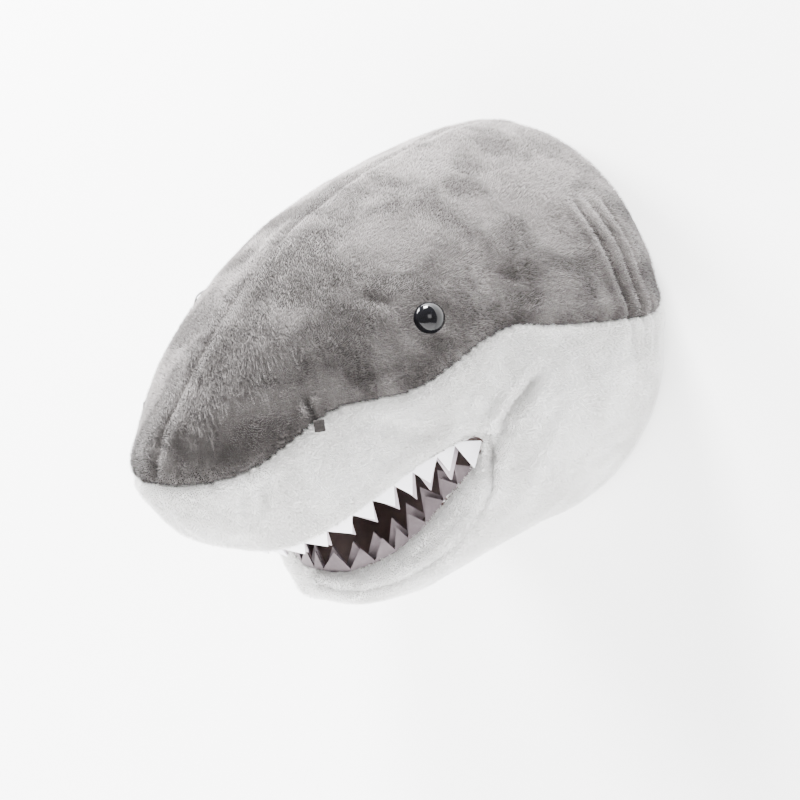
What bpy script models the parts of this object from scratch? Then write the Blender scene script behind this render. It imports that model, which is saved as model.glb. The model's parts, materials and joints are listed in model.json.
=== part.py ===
"""Plush shark head for a wall: a stuffed head on a plywood back board, as separate sewn and fitted pieces.

Metres, +Z up. The origin is the middle of the flat back, which lies against the wall; the nose points
along -Y and the head is symmetric about X = 0.
"""
import bisect
import math

import bmesh
import bpy
from mathutils import Matrix, Vector
from mathutils.bvhtree import BVHTree

MM = 0.001
GAP = 0.25 * MM  # each sewn edge stops this far short of its seam
SKIN = 3.0 * MM  # plush cloth with its pile
FILL_GAP = 1.0 * MM  # between the cloth and the filling
LINING = 1.5 * MM  # mouth lining cloth
LINING_INSET = 6 * MM  # from the lip's edge in to the lining's edge
FILL_LIFT = GAP + LINING + FILL_GAP  # from the middle of the mouth sheet to the filling
FELT = 1.5 * MM  # teeth and back cover

# The head's lines in mm, from the back rim to the nose: (y, z) on top and below, (x, y, z) at the side.
TOP_LINE = [(-2, 163), (-14, 175), (-45, 176), (-115, 159), (-195, 131),
            (-268, 89), (-330, 36), (-374, -20), (-398, -58), (-406, -91)]
SIDE_LINE = [(155, -2, 0), (171, -16, -2), (184, -52, -6), (181, -115, -12), (158, -190, -22),
             (127, -262, -36), (94, -325, -54), (62, -368, -70), (35, -394, -82), (0, -406, -91)]
UNDER_LINE = [(-2, -152), (-16, -163), (-50, -172), (-115, -177), (-190, -172),
              (-258, -163), (-320, -149), (-365, -134), (-393, -112), (-406, -91)]
STATIONS = [0, 0.035, 0.11, 0.27, 0.44, 0.60, 0.74, 0.86, 0.945, 1.0]
# Exponents of the section's curve: 1 is an ellipse, more is more pointed.
UPPER_SHAPE = ([0, 0.1, 0.4, 0.8, 1], [1.0, 1.10, 1.12, 1.02, 1.0])
UNDER_SHAPE = ([0, 0.1, 0.4, 0.8, 1], [1.0, 1.1, 1.04, 1.0, 1.05])

# Angles round the section, 0 on top and pi below, of the grey-to-white seam and of the upper lip.
SEAM = ([0, 0.23, 0.345, 0.43, 0.50, 0.60, 0.66, 0.72, 0.81, 0.86, 0.93, 1.0],
        [1.38, 1.345, 1.30, 1.24, 1.33, 1.46, 1.42, 1.39, 1.59, 1.73, 1.81, 1.86])
CORNER_AT = 0.466  # station of the mouth's corners
CORNER_PULL = Vector((-18 * MM, 19 * MM, 0))  # how far the left corner is drawn into the cheek
CORNER_SPREAD = 40 * MM
LIP_FRONT_AT = 0.715  # station of the middle of the upper lip
LIP = ([0, 0.2, 0.36, CORNER_AT, 0.554, 0.594, 0.623, 0.646, 0.676, 0.70, LIP_FRONT_AT],
       [1.571, 1.60, 1.70, 1.837, 1.929, 2.013, 2.138, 2.269, 2.524, 2.81, math.pi])

# The lower jaw in mm: its lip from a corner to the middle, and its keel from the back rim to the chin.
JAW_LIP = ([0.17, 0.36, 0.52, 0.70, 0.87, 1.0],
           [(118, -186, -88), (100, -195, -112), (83, -203, -134), (58, -215, -158), (29, -229, -171),
            (0, -236, -171)])
KEEL = ([0, 0.05, 0.16, 0.36, 0.58, 0.80, 0.93, 1.0],
        [(-2, -152), (-16, -163), (-50, -171), (-105, -186), (-160, -202), (-204, -206), (-229, -200),
         (-241, -188)])
JAW_CORNER_AT = 0.52
JAW_SHAPE = ([0, 0.15, 0.4, 0.52, 1], [1.0, 1.18, 1.12, 0.95, 0.9])
JAW_SWELL = ([0, 0.35, 0.6, 1], [0, 0, 6, 5])
CREASE = ([0, 0.52, 0.64, 0.8, 1.0], [0.35, 0.35, 0.50, 0.62, 0.75])
SHORT_OF_LIP = 0.6  # the filling stops this share of a column before the lip
GULLET_DEPTH = 60 * MM
GULLET_DROP = 14 * MM
PALATE_RISE = 22 * MM
FLOOR_DIP = 9 * MM

ROWS_BACK = [0, 0.012, 0.035, 0.07, 0.11, 0.165, 0.225, 0.29, 0.35, 0.41, CORNER_AT]
ROWS_LIP = [0.52, 0.57, 0.615, 0.65, 0.68, 0.70, LIP_FRONT_AT]
ROWS_NOSE = [0.75, 0.79, 0.83, 0.87, 0.905, 0.935, 0.96, 0.98, 0.993]
ROWS = ROWS_BACK + ROWS_LIP + ROWS_NOSE
JAW_STEPS = 9
GREY_COLUMNS = 9
WHITE_COLUMNS = 6
BAND_COLUMNS = 3
THROAT_COLUMNS = 5
MOUTH_COLUMNS = 10

BOARD_BACK = -1.8 * MM
BOARD_THICK = 12 * MM
BOARD_FRONT = BOARD_BACK - BOARD_THICK
BOARD_INSET = 3.8 * MM
POCKET_HALF_WIDTH = 20 * MM
POCKET_LOW = 80 * MM
POCKET_HIGH = 141 * MM
POCKET_FLOOR = -8.0 * MM
HINGE = Vector((0, -4.9 * MM, 116 * MM))
RING_WIRE = 1.4 * MM
RING_HALF_WIDTH = 12 * MM
RING_REACH = 20 * MM
STRAP_THICK = 1.1 * MM
STRAP_HALF_WIDTH = 8 * MM
SCREW_HEIGHTS = (88 * MM, 103 * MM)
SCREW_HEAD = 3.6 * MM
SCREW_SHANK = 1.5 * MM
SCREW_LENGTH = 6.2 * MM
CLEARANCE = 0.3 * MM  # between hard parts that fit in each other

EYE_AT = (0.540, 1.080)
EYE_RADIUS = 11.8 * MM
EYE_DOME = 8 * MM
EYE_LIFT = 0.4 * MM
STEM_RADIUS = 2.6 * MM
STEM_LENGTH = 17 * MM
WASHER_TOP = -4.3 * MM
WASHER_THICK = 1.6 * MM
WASHER_RADIUS = 9 * MM

TOOTH_HEIGHT = 17 * MM
TOOTH_CLEAR = 3.0 * MM
TOOTH_SHARE = 0.42  # of the way to the other side of the mouth that a tooth may take
TAPE = 2.5 * MM
CHIN_TOOTH = Vector((0, -0.25, 0.97))  # which way the lower teeth stand at the chin
RAY_START = 30 * MM  # how far out the search for the lining starts
NOSTRIL_AT = (0.742, 1.40)
TAB_SIZE = (8 * MM, 9 * MM, 1.8 * MM)


def clear_scene():
    for item in list(bpy.data.objects):
        bpy.data.objects.remove(item, do_unlink=True)


def spline(keys, values, at):
    """A smooth curve through the values at the keys; values are numbers or tuples."""
    if not isinstance(values[0], tuple):
        return spline(keys, [(v,) for v in values], at)[0]
    points = [Vector(v + (0,) * (3 - len(v))) for v in values]
    steps = [keys[i + 1] - keys[i] for i in range(len(keys) - 1)]
    slopes = [(points[i + 1] - points[i]) / steps[i] for i in range(len(steps))]
    tangents = [
        (slopes[i - 1] * steps[i] + slopes[i] * steps[i - 1]) / (steps[i - 1] + steps[i])
        for i in range(1, len(steps))
    ]
    tangents = [2 * slopes[0] - tangents[0]] + tangents + [2 * slopes[-1] - tangents[-1]]
    i = min(max(bisect.bisect_right(keys, at) - 1, 0), len(steps) - 1)
    u = (at - keys[i]) / steps[i]
    start = (2 * u**3 - 3 * u**2 + 1) * points[i] + (u**3 - 2 * u**2 + u) * steps[i] * tangents[i]
    end = (3 * u**2 - 2 * u**3) * points[i + 1] + (u**3 - u**2) * steps[i] * tangents[i + 1]
    return start + end


def straight(keys, values, at):
    """Straight lines between the values at the keys."""
    i = min(max(bisect.bisect_right(keys, at) - 1, 0), len(keys) - 2)
    u = min(max((at - keys[i]) / (keys[i + 1] - keys[i]), 0), 1)
    return values[i] + (values[i + 1] - values[i]) * u


def plain_head(t, angle):
    """A point on the head's outer surface at station t, before the mouth's corners are drawn in."""
    side = spline(STATIONS, SIDE_LINE, t)
    above = angle <= math.pi / 2
    middle = spline(STATIONS, TOP_LINE if above else UNDER_LINE, t)
    power = straight(*(UPPER_SHAPE if above else UNDER_SHAPE), t)
    out = abs(math.sin(angle)) ** power if angle < math.pi else 0.0
    up = abs(math.cos(angle)) ** power
    return MM * Vector((side.x * out, side.y + (middle.x - side.y) * up, side.z + (middle.y - side.z) * up))


def head(t, angle):
    """A point on the head's outer surface, which dips in at the mouth's corners."""
    point = plain_head(t, angle)
    away = (point - plain_head(CORNER_AT, LIP[1][LIP[0].index(CORNER_AT)])).length
    return point + CORNER_PULL * math.exp(-((away / CORNER_SPREAD) ** 2)) * math.sin(angle)


def lip_angle(t):
    return math.pi if t >= LIP_FRONT_AT else spline(*LIP, t)


def upper_lip(v):
    """The upper lip from the corner, v = 0, to the middle, v = 1."""
    t = CORNER_AT + v * (LIP_FRONT_AT - CORNER_AT)
    return head(t, lip_angle(t))


def jaw_lip(v):
    """The lower lip from the corner, v = 0, to the middle, v = 1."""
    corner = tuple(head(CORNER_AT, lip_angle(CORNER_AT)) / MM)
    return MM * spline([0] + JAW_LIP[0], [corner] + JAW_LIP[1], v)


def jaw_rim(s):
    if s <= JAW_CORNER_AT:
        t = s / JAW_CORNER_AT * CORNER_AT
        return head(t, lip_angle(t))
    return jaw_lip((s - JAW_CORNER_AT) / (1 - JAW_CORNER_AT))


def jaw(s, angle):
    """A point on the throat and lower jaw: angle 0 at the lip, pi / 2 at the keel."""
    rim = jaw_rim(s)
    keel = MM * spline(*KEEL, s)
    power = straight(*JAW_SHAPE, s)
    across = math.cos(angle) ** power if angle < math.pi / 2 else 0.0
    down = math.sin(angle) ** power
    swell = MM * straight(*JAW_SWELL, s) * math.sin(2 * angle)
    outward = Vector((rim.x, rim.y + 120 * MM, 0)).normalized()
    point = Vector((rim.x * across, rim.y + (keel.x - rim.y) * down, rim.z + (keel.y - rim.z) * down))
    return point + outward * swell


def crease_angle(s):
    return straight(*CREASE, s)


def normal(surface, a, b, step=0.004):
    """The outward normal of a surface of two values."""
    along = surface(min(a + step, 0.9995), b) - surface(max(a - step, 0), b)
    round_it = surface(a, min(b + step, math.pi)) - surface(a, max(b - step, 0))
    return along.cross(round_it).normalized()


def head_normal(t, angle):
    found = normal(head, t, angle)
    middle = head(t, math.pi / 2) * 0.5
    found = found if found.dot(head(t, angle) - Vector((0, middle.y * 2, middle.z * 2))) > 0 else -found
    return Vector((0, found.y, found.z)).normalized() if angle in (0, math.pi) else found


def jaw_normal(s, angle):
    if angle == 0 and s <= JAW_CORNER_AT:
        t = s / JAW_CORNER_AT * CORNER_AT
        return head_normal(t, lip_angle(t))
    a = min(max(angle, 0.03), math.pi / 2 - 0.03)
    found = normal(jaw, min(s, 0.985), a)
    found = found if found.dot(Vector((jaw(s, a).x, -0.02, -0.05))) > 0 else -found
    flat = angle >= math.pi / 2 or s >= 1
    return Vector((0, found.y, found.z)).normalized() if flat else found


def spread(low, high, count):
    return [low + (high - low) * i / count for i in range(count + 1)]


def jaw_rows():
    back = [t / CORNER_AT * JAW_CORNER_AT for t in ROWS_BACK]
    front = spread(JAW_CORNER_AT, 1, JAW_STEPS)[1:]
    return back + front


def head_columns(t):
    seam = spline(*SEAM, t)
    return spread(0, seam, GREY_COLUMNS) + spread(seam, lip_angle(t), WHITE_COLUMNS)[1:]


def jaw_columns(s):
    crease = crease_angle(s)
    return spread(0, crease, BAND_COLUMNS) + spread(crease, math.pi / 2, THROAT_COLUMNS)[1:]


def new_object(name, mesh, colour, roughness, metallic=0.0):
    """Puts a mesh in the parts' collection with a material of its own."""
    material = bpy.data.materials.new(name)
    material.use_nodes = True
    shader = material.node_tree.nodes["Principled BSDF"]
    shader.inputs["Base Color"].default_value = (*colour, 1)
    shader.inputs["Roughness"].default_value = roughness
    shader.inputs["Metallic"].default_value = metallic
    material.diffuse_color = (*colour, 1)
    made = bpy.data.objects.new(name, mesh)
    mesh.materials.clear()
    mesh.materials.append(material)
    bpy.data.collections["plush_shark_head"].objects.link(made)
    return made


def finish_mesh(bm, name, merge=1e-6):
    bmesh.ops.remove_doubles(bm, verts=bm.verts, dist=merge)
    bmesh.ops.dissolve_degenerate(bm, dist=merge, edges=bm.edges)
    bmesh.ops.triangulate(bm, faces=bm.faces)
    bmesh.ops.recalc_face_normals(bm, faces=bm.faces)
    if bm.calc_volume(signed=True) < 0:
        bmesh.ops.reverse_faces(bm, faces=bm.faces)
    mesh = bpy.data.meshes.new(name)
    bm.to_mesh(mesh)
    bm.free()
    return mesh


def cells_at(i, j, kept):
    return [(a, b) for a in (i - 1, i) for b in (j - 1, j) if (a, b) in kept]


def drawn_in(points, kept):
    """The grid with the points on the sewn edges moved a little into the panel."""
    moved = {}
    for i, j in {(a + p, b + q) for a, b in kept for p in (0, 1) for q in (0, 1)}:
        near = cells_at(i, j, kept)
        if len(near) == 4:
            continue
        middle = Vector((0, 0, 0))
        for a, b in near:
            middle += (points[a][b] + points[a + 1][b] + points[a][b + 1] + points[a + 1][b + 1]) / 4
        moved[i, j] = (middle / len(near) - points[i][j]).normalized() * GAP
    return moved


def panel_mesh(name, outer, inner, kept, folded_row=None):
    """A cloth panel between two grids of points, made of the kept cells and closed along its edges.

    The edge along folded_row isn't closed, because its two halves meet there.
    """
    bm = bmesh.new()
    moved = drawn_in(outer, kept)
    verts = {}

    def vert(layer, i, j):
        if (layer, i, j) not in verts:
            grid = outer if layer == 0 else inner
            shift = moved.get((i, j), Vector((0, 0, 0))) if i != folded_row else Vector((0, 0, 0))
            verts[layer, i, j] = bm.verts.new(grid[i][j] + shift)
        return verts[layer, i, j]

    for i, j in sorted(kept):
        ring = [(i, j), (i + 1, j), (i + 1, j + 1), (i, j + 1)]
        bm.faces.new([vert(0, *c) for c in ring])
        bm.faces.new([vert(1, *c) for c in reversed(ring)])
        beyond = [(i, j - 1), (i + 1, j), (i, j + 1), (i - 1, j)]
        for k, other in enumerate(beyond):
            a, b = ring[k], ring[(k + 1) % 4]
            if other not in kept and not (a[0] == b[0] == folded_row):
                bm.faces.new([vert(0, *b), vert(0, *a), vert(1, *a), vert(1, *b)])
    return finish_mesh(bm, name)


def mirrored(grid):
    return [[Vector((-p.x, p.y, p.z)) for p in row] for row in grid]


def head_grid(depth):
    """Points of the head's left half at a depth under its surface."""
    return [[head(t, a) - head_normal(t, a) * depth for a in head_columns(t)] for t in ROWS]


def jaw_grid(depth):
    """Points of the throat and jaw at a depth under the surface, from the left lip to the right lip."""
    rows = []
    for s in jaw_rows():
        left = [jaw(s, a) - jaw_normal(s, a) * depth for a in jaw_columns(s)]
        left[-1].x = 0
        if s == 1:
            for p in left:
                p.x = 0
        rows.append(left + [Vector((-p.x, p.y, p.z)) for p in reversed(left[:-1])])
    return rows


def make_head_panels():
    """Two grey panels that meet along the ridge, and two white ones under them."""
    outer, inner = head_grid(0), head_grid(SKIN)
    rows = range(len(ROWS) - 1)
    grey = {(i, j) for i in rows for j in range(GREY_COLUMNS)}
    white = {(i, j) for i in rows for j in range(GREY_COLUMNS, GREY_COLUMNS + WHITE_COLUMNS)}
    for side, grids in (("left", (outer, inner)), ("right", (mirrored(outer), mirrored(inner)))):
        name = "upper_panel_" + side
        new_object(name, panel_mesh(name, *grids, grey), (0.36, 0.33, 0.32), 0.95)
        name = "cheek_panel_" + side
        new_object(name, panel_mesh(name, *grids, white), (0.85, 0.85, 0.84), 0.95)


def make_jaw_panels():
    """The band along the lower lip, and the throat panel behind and below it."""
    outer, inner = jaw_grid(0), jaw_grid(SKIN)
    last = len(outer[0]) - 1
    corner = len(ROWS_BACK) - 1
    front = len(outer) - 1
    band_columns = [j for j in range(last) if j < BAND_COLUMNS or j >= last - BAND_COLUMNS]
    band = {(i, j) for i in range(corner, front) for j in band_columns}
    throat = {(i, j) for i in range(front) for j in range(last)} - band
    new_object("lip_band", panel_mesh("lip_band", outer, inner, band, front), (0.85, 0.85, 0.84), 0.95)
    mesh = panel_mesh("throat_panel", outer, inner, throat, front)
    new_object("throat_panel", mesh, (0.83, 0.83, 0.82), 0.95)


def mouth_sheet(lip, rows, rise, lift):
    """A grid across the mouth from lip to lip, from the gullet to the middle of the lip."""
    grid = []
    for v in rows:
        edge = lip(v)
        back = (1 - v) ** 2
        reach = max(edge.x - LINING_INSET * min(1, edge.x / (2 * LINING_INSET)), 0)
        row = []
        for w in spread(1, -1, MOUTH_COLUMNS):
            bow = 1 - w * w
            up = bow * (rise * math.sin(math.pi * v) - GULLET_DROP * back) + lift
            set_back = bow * GULLET_DEPTH * back + LINING_INSET * 0.6 * v
            row.append(Vector((w * reach, edge.y + set_back, edge.z + up)))
        grid.append(row)
    return grid


def palate_rows():
    return [(t - CORNER_AT) / (LIP_FRONT_AT - CORNER_AT) for t in [CORNER_AT] + ROWS_LIP]


def make_linings():
    """The palate and the mouth's floor, which meet along the gullet."""
    for name, lip, rows, rise, side in (
        ("upper_mouth_lining", upper_lip, palate_rows(), PALATE_RISE, 1),
        ("lower_mouth_lining", jaw_lip, spread(0, 1, JAW_STEPS), -FLOOR_DIP, -1),
    ):
        near = mouth_sheet(lip, rows, rise, side * GAP)
        far = mouth_sheet(lip, rows, rise, side * (GAP + LINING))
        last = len(rows) - 1
        cells = {(i, j) for i in range(last) for j in range(MOUTH_COLUMNS)}
        mesh = panel_mesh(name, near, far, cells, last)
        new_object(name, mesh, (0.07, 0.045, 0.04), 0.9)


def filling_mesh(name, rings):
    """A closed solid through rings of points, with a fan at each end."""
    bm = bmesh.new()
    made = [[bm.verts.new(p) for p in ring] for ring in rings]
    for one, two in zip(made, made[1:]):
        for k in range(len(one)):
            n = (k + 1) % len(one)
            bm.faces.new([one[k], one[n], two[n], two[k]])
    for ring in (made[0], made[-1]):
        middle = sum((v.co for v in ring), Vector((0, 0, 0))) / len(ring)
        tip = bm.verts.new(middle)
        for k in range(len(ring)):
            bm.faces.new([ring[k], ring[(k + 1) % len(ring)], tip])
    return finish_mesh(bm, name, 2e-5)


def divider(side):
    """(station, row of points across the head) between the two fillings, from the board to the gullet."""
    rows = []
    for t in ROWS_BACK[3:]:
        share = (t / CORNER_AT) ** 2
        edge = head(t, lip_angle(t))
        row = []
        for w in spread(1, -1, MOUTH_COLUMNS):
            bow = share * (1 - w * w)
            drop = bow * GULLET_DROP - side * FILL_LIFT
            row.append(Vector((w * (edge.x - LINING_INSET), edge.y + bow * GULLET_DEPTH, edge.z - drop)))
        rows.append((t, row))
    return rows


def make_filling():
    """The stuffing of the head and of the jaw, as two solids that meet behind the mouth."""
    depth = SKIN + FILL_GAP
    rings = []
    palate = mouth_sheet(upper_lip, palate_rows()[1:-1], PALATE_RISE, FILL_LIFT)
    rows = divider(1) + list(zip(ROWS_LIP, palate))
    for t, under in rows + [(t, None) for t in ROWS_LIP[-1:] + ROWS_NOSE]:
        columns = head_columns(t)
        if under is not None:
            columns[-1] = columns[-2] + (columns[-1] - columns[-2]) * SHORT_OF_LIP
        left = [head(t, a) - head_normal(t, a) * depth for a in columns]
        if under is None:
            under = [left[-1]] * (MOUTH_COLUMNS + 1)
        right = [Vector((-p.x, p.y, p.z)) for p in left[1:]]
        rings.append(left + under + list(reversed(right)))
    mesh = filling_mesh("head_stuffing", rings)
    new_object("head_stuffing", mesh, (0.9, 0.9, 0.88), 1.0)

    grid = jaw_grid(depth)
    for row in grid:
        row[0] = row[1].lerp(row[0], SHORT_OF_LIP)
        row[-1] = row[-2].lerp(row[-1], SHORT_OF_LIP)
    floor = mouth_sheet(jaw_lip, spread(0, 1, JAW_STEPS)[1:-1], -FLOOR_DIP, -FILL_LIFT)
    over = [row for t, row in divider(-1)] + floor
    rings = [outer + list(reversed(row)) for outer, row in zip(grid[3:-1], over)]
    new_object("jaw_stuffing", filling_mesh("jaw_stuffing", rings), (0.9, 0.9, 0.88), 1.0)


def cutter(name, mesh):
    """A hidden shape that only cuts others."""
    made = bpy.data.objects.new(name, mesh)
    made.hide_render = True
    made.display_type = "WIRE"
    bpy.data.collections["cutters"].objects.link(made)
    return made


def cut(target, tool):
    modifier = target.modifiers.new("cut_" + tool.name, "BOOLEAN")
    modifier.operation = "DIFFERENCE"
    modifier.object = tool


def block_mesh(name, low, high):
    bm = bmesh.new()
    bmesh.ops.create_cube(bm, size=1)
    low, high = Vector(low), Vector(high)
    bmesh.ops.scale(bm, verts=bm.verts, vec=high - low)
    bmesh.ops.translate(bm, verts=bm.verts, vec=(low + high) / 2)
    mesh = bpy.data.meshes.new(name)
    bm.to_mesh(mesh)
    bm.free()
    return mesh


def pin_mesh(name, radius, bottom, top, matrix, segments=24):
    """A cylinder along the matrix's Z axis, from bottom to top."""
    bm = bmesh.new()
    bmesh.ops.create_cone(bm, cap_ends=True, segments=segments, radius1=radius, radius2=radius,
                          depth=top - bottom)
    bmesh.ops.translate(bm, verts=bm.verts, vec=(0, 0, (top + bottom) / 2))
    bmesh.ops.transform(bm, matrix=matrix, verts=bm.verts)
    mesh = bpy.data.meshes.new(name)
    bm.to_mesh(mesh)
    bm.free()
    return mesh


def turned(name, profile, matrix, colour, roughness, metallic=0.0, closed=False, steps=24):
    """A solid turned about the matrix's Z axis, from (radius, height) points down its outer side."""
    bm = bmesh.new()
    verts = [bm.verts.new((r, 0, z)) for r, z in profile]
    for a, b in zip(verts, verts[1:] + (verts[:1] if closed else [])):
        bm.edges.new((a, b))
    mesh = bpy.data.meshes.new(name)
    bm.to_mesh(mesh)
    bm.free()
    made = new_object(name, mesh, colour, roughness, metallic)
    screw = made.modifiers.new("turn", "SCREW")
    screw.steps = screw.render_steps = steps
    screw.use_merge_vertices = True
    screw.merge_threshold = 0.00001
    made.matrix_world = matrix
    return made


def facing(point, direction):
    """A matrix at the point whose Z axis is the direction."""
    return Matrix.Translation(point) @ direction.to_track_quat("Z", "Y").to_matrix().to_4x4()


def mirror_vector(v):
    return Vector((-v.x, v.y, v.z))


def make_eyes():
    """Domed eyes on stems that go through the grey cloth, each held by a washer in the filling."""
    panels = bpy.data.objects
    arc = [(EYE_RADIUS * math.sin(a), EYE_LIFT + MM + EYE_DOME * math.cos(a))
           for a in spread(0, math.pi / 2, 7)]
    profile = arc + [(EYE_RADIUS - 0.4 * MM, EYE_LIFT), (STEM_RADIUS, EYE_LIFT),
                     (STEM_RADIUS, -STEM_LENGTH), (0, -STEM_LENGTH)]
    low = WASHER_TOP - WASHER_THICK
    ring = [(WASHER_RADIUS, WASHER_TOP), (WASHER_RADIUS, low), (STEM_RADIUS + CLEARANCE, low),
            (STEM_RADIUS + CLEARANCE, WASHER_TOP)]
    point, out = head(*EYE_AT), head_normal(*EYE_AT)
    for side, at, way in (("left", point, out), ("right", mirror_vector(point), mirror_vector(out))):
        frame = facing(at, way)
        turned("eye_" + side, profile, frame, (0.01, 0.01, 0.012), 0.06)
        turned("eye_washer_" + side, ring, frame, (0.8, 0.8, 0.78), 0.5, closed=True)
        stem_hole = pin_mesh("stem_hole_" + side, STEM_RADIUS + 0.4 * MM, -STEM_LENGTH - MM, 4 * MM, frame)
        hole = cutter("stem_hole_" + side, stem_hole)
        pocket_mesh = pin_mesh("washer_pocket_" + side, WASHER_RADIUS + 0.5 * MM, low - 0.5 * MM, 4 * MM,
                               frame)
        pocket = cutter("washer_pocket_" + side, pocket_mesh)
        cut(panels["upper_panel_" + side], hole)
        cut(panels["head_stuffing"], pocket)
        cut(panels["head_stuffing"], hole)


def rim_disc(name, inset, back, front, segments=64):
    """A flat plate in the outline of the head's back rim."""
    bm = bmesh.new()
    turn = Matrix.Rotation(math.pi / 2, 4, "X")
    bmesh.ops.create_cone(bm, cap_ends=True, segments=segments, radius1=1, radius2=1, depth=back - front,
                          matrix=turn)
    up, wide, down = TOP_LINE[0][1] * MM, SIDE_LINE[0][0] * MM, -UNDER_LINE[0][1] * MM
    for v in bm.verts:
        v.co.x *= wide - inset
        v.co.z *= (up if v.co.z > 0 else down) - inset
    bmesh.ops.translate(bm, verts=bm.verts, vec=(0, (back + front) / 2, 0))
    mesh = bpy.data.meshes.new(name)
    bm.to_mesh(mesh)
    bm.free()
    return mesh


def make_back():
    """The plywood board and the felt over it, with the pocket for the hanger."""
    board = new_object("back_board", rim_disc("back_board", BOARD_INSET, BOARD_BACK, BOARD_FRONT),
                       (0.62, 0.45, 0.28), 0.7)
    cover = new_object("back_cover", rim_disc("back_cover", 1 * MM, 0, -FELT), (0.03, 0.03, 0.035), 0.95)
    box = block_mesh("hanger_pocket", (-POCKET_HALF_WIDTH, POCKET_FLOOR, POCKET_LOW),
                     (POCKET_HALF_WIDTH, 5 * MM, POCKET_HIGH))
    pocket = cutter("hanger_pocket", box)
    cut(board, pocket)
    cut(cover, pocket)
    return board


def make_hanger(board):
    """A strap with a rolled end, the D-shaped ring that swings in it, and two screws."""
    roll = RING_WIRE + CLEARANCE + STRAP_THICK / 2
    path = [(HINGE.y - roll, POCKET_LOW + 2 * MM), (HINGE.y - roll, HINGE.z - 3 * MM)]
    path += [(HINGE.y + roll * math.cos(a), HINGE.z + roll * math.sin(a))
             for a in spread(math.pi, -math.pi * 0.4, 12)]
    bm = bmesh.new()
    start = [bm.verts.new((-STRAP_HALF_WIDTH, y, z)) for y, z in path]
    edges = [bm.edges.new(pair) for pair in zip(start, start[1:])]
    made = bmesh.ops.extrude_edge_only(bm, edges=edges)["geom"]
    moved = [v for v in made if isinstance(v, bmesh.types.BMVert)]
    bmesh.ops.translate(bm, verts=moved, vec=(2 * STRAP_HALF_WIDTH, 0, 0))
    mesh = bpy.data.meshes.new("hanger_strap")
    bm.to_mesh(mesh)
    bm.free()
    strap = new_object("hanger_strap", mesh, (0.75, 0.72, 0.62), 0.35, 1.0)
    wall = strap.modifiers.new("sheet", "SOLIDIFY")
    wall.thickness = STRAP_THICK
    wall.offset = 0

    straight_part = [(-RING_HALF_WIDTH, 0), (0, 0), (RING_HALF_WIDTH, 0), (RING_HALF_WIDTH, 5 * MM)]
    bend = [(RING_HALF_WIDTH * math.cos(a), 8 * MM + (RING_REACH - 8 * MM) * math.sin(a))
            for a in spread(0, math.pi, 12)]
    curve = bpy.data.curves.new("ring_path", "CURVE")
    curve.dimensions = "3D"
    curve.bevel_depth = RING_WIRE
    curve.bevel_resolution = 2
    line = curve.splines.new("POLY")
    points = straight_part + bend + [(-RING_HALF_WIDTH, 5 * MM)]
    line.points.add(len(points) - 1)
    for made, (x, z) in zip(line.points, points):
        made.co = (x, 0, z, 1)
    line.use_cyclic_u = True
    path_object = bpy.data.objects.new("ring_path", curve)
    bpy.data.collections["cutters"].objects.link(path_object)
    bpy.context.view_layer.update()
    tube = bpy.data.meshes.new_from_object(path_object.evaluated_get(bpy.context.evaluated_depsgraph_get()))
    bpy.data.objects.remove(path_object, do_unlink=True)
    ring = new_object("hanger_ring", tube, (0.75, 0.72, 0.62), 0.3, 1.0)
    ring.location = HINGE

    face = HINGE.y - roll + STRAP_THICK / 2 + CLEARANCE
    profile = [(0, 1.8 * MM), (SCREW_HEAD * 0.6, 1.7 * MM), (SCREW_HEAD * 0.9, 1.1 * MM), (SCREW_HEAD, 0),
               (SCREW_SHANK, 0), (SCREW_SHANK, 1 * MM - SCREW_LENGTH), (0, -SCREW_LENGTH)]
    for name, height in zip(("lower", "upper"), SCREW_HEIGHTS):
        frame = facing(Vector((0, face, height)), Vector((0, 1, 0)))
        turned("hanger_screw_" + name, profile, frame, (0.75, 0.72, 0.62), 0.35, 1.0, steps=16)
        hole = pin_mesh("screw_hole_" + name, SCREW_SHANK + CLEARANCE, -SCREW_LENGTH - 2 * CLEARANCE, 3 * MM,
                        frame, 16)
        tool = cutter("screw_hole_" + name, hole)
        cut(strap, tool)
        cut(board, tool)


def sheet_tree(grid):
    """A mouth lining's grid as a surface that rays can meet."""
    bm = bmesh.new()
    verts = [[bm.verts.new(p) for p in row] for row in grid]
    for one, two in zip(verts, verts[1:]):
        for k in range(len(one) - 1):
            bm.faces.new([one[k], one[k + 1], two[k + 1], two[k]])
    tree = BVHTree.FromBMesh(bm)
    bm.free()
    return tree


def lip_places(lip, first, count):
    """Evenly spaced v along a lip from near a corner to the middle and back: (v, side)."""
    steps = spread(first, 1, 60)
    lengths = [0.0]
    for a, b in zip(steps, steps[1:]):
        lengths.append(lengths[-1] + (lip(b) - lip(a)).length)
    share = [abs(1 - 2 * k / count) for k in range(count + 1)]
    return [(straight(lengths, steps, lengths[-1] * (1 - w)), 1 if k * 2 <= count else -1)
            for k, w in enumerate(share)]


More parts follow.
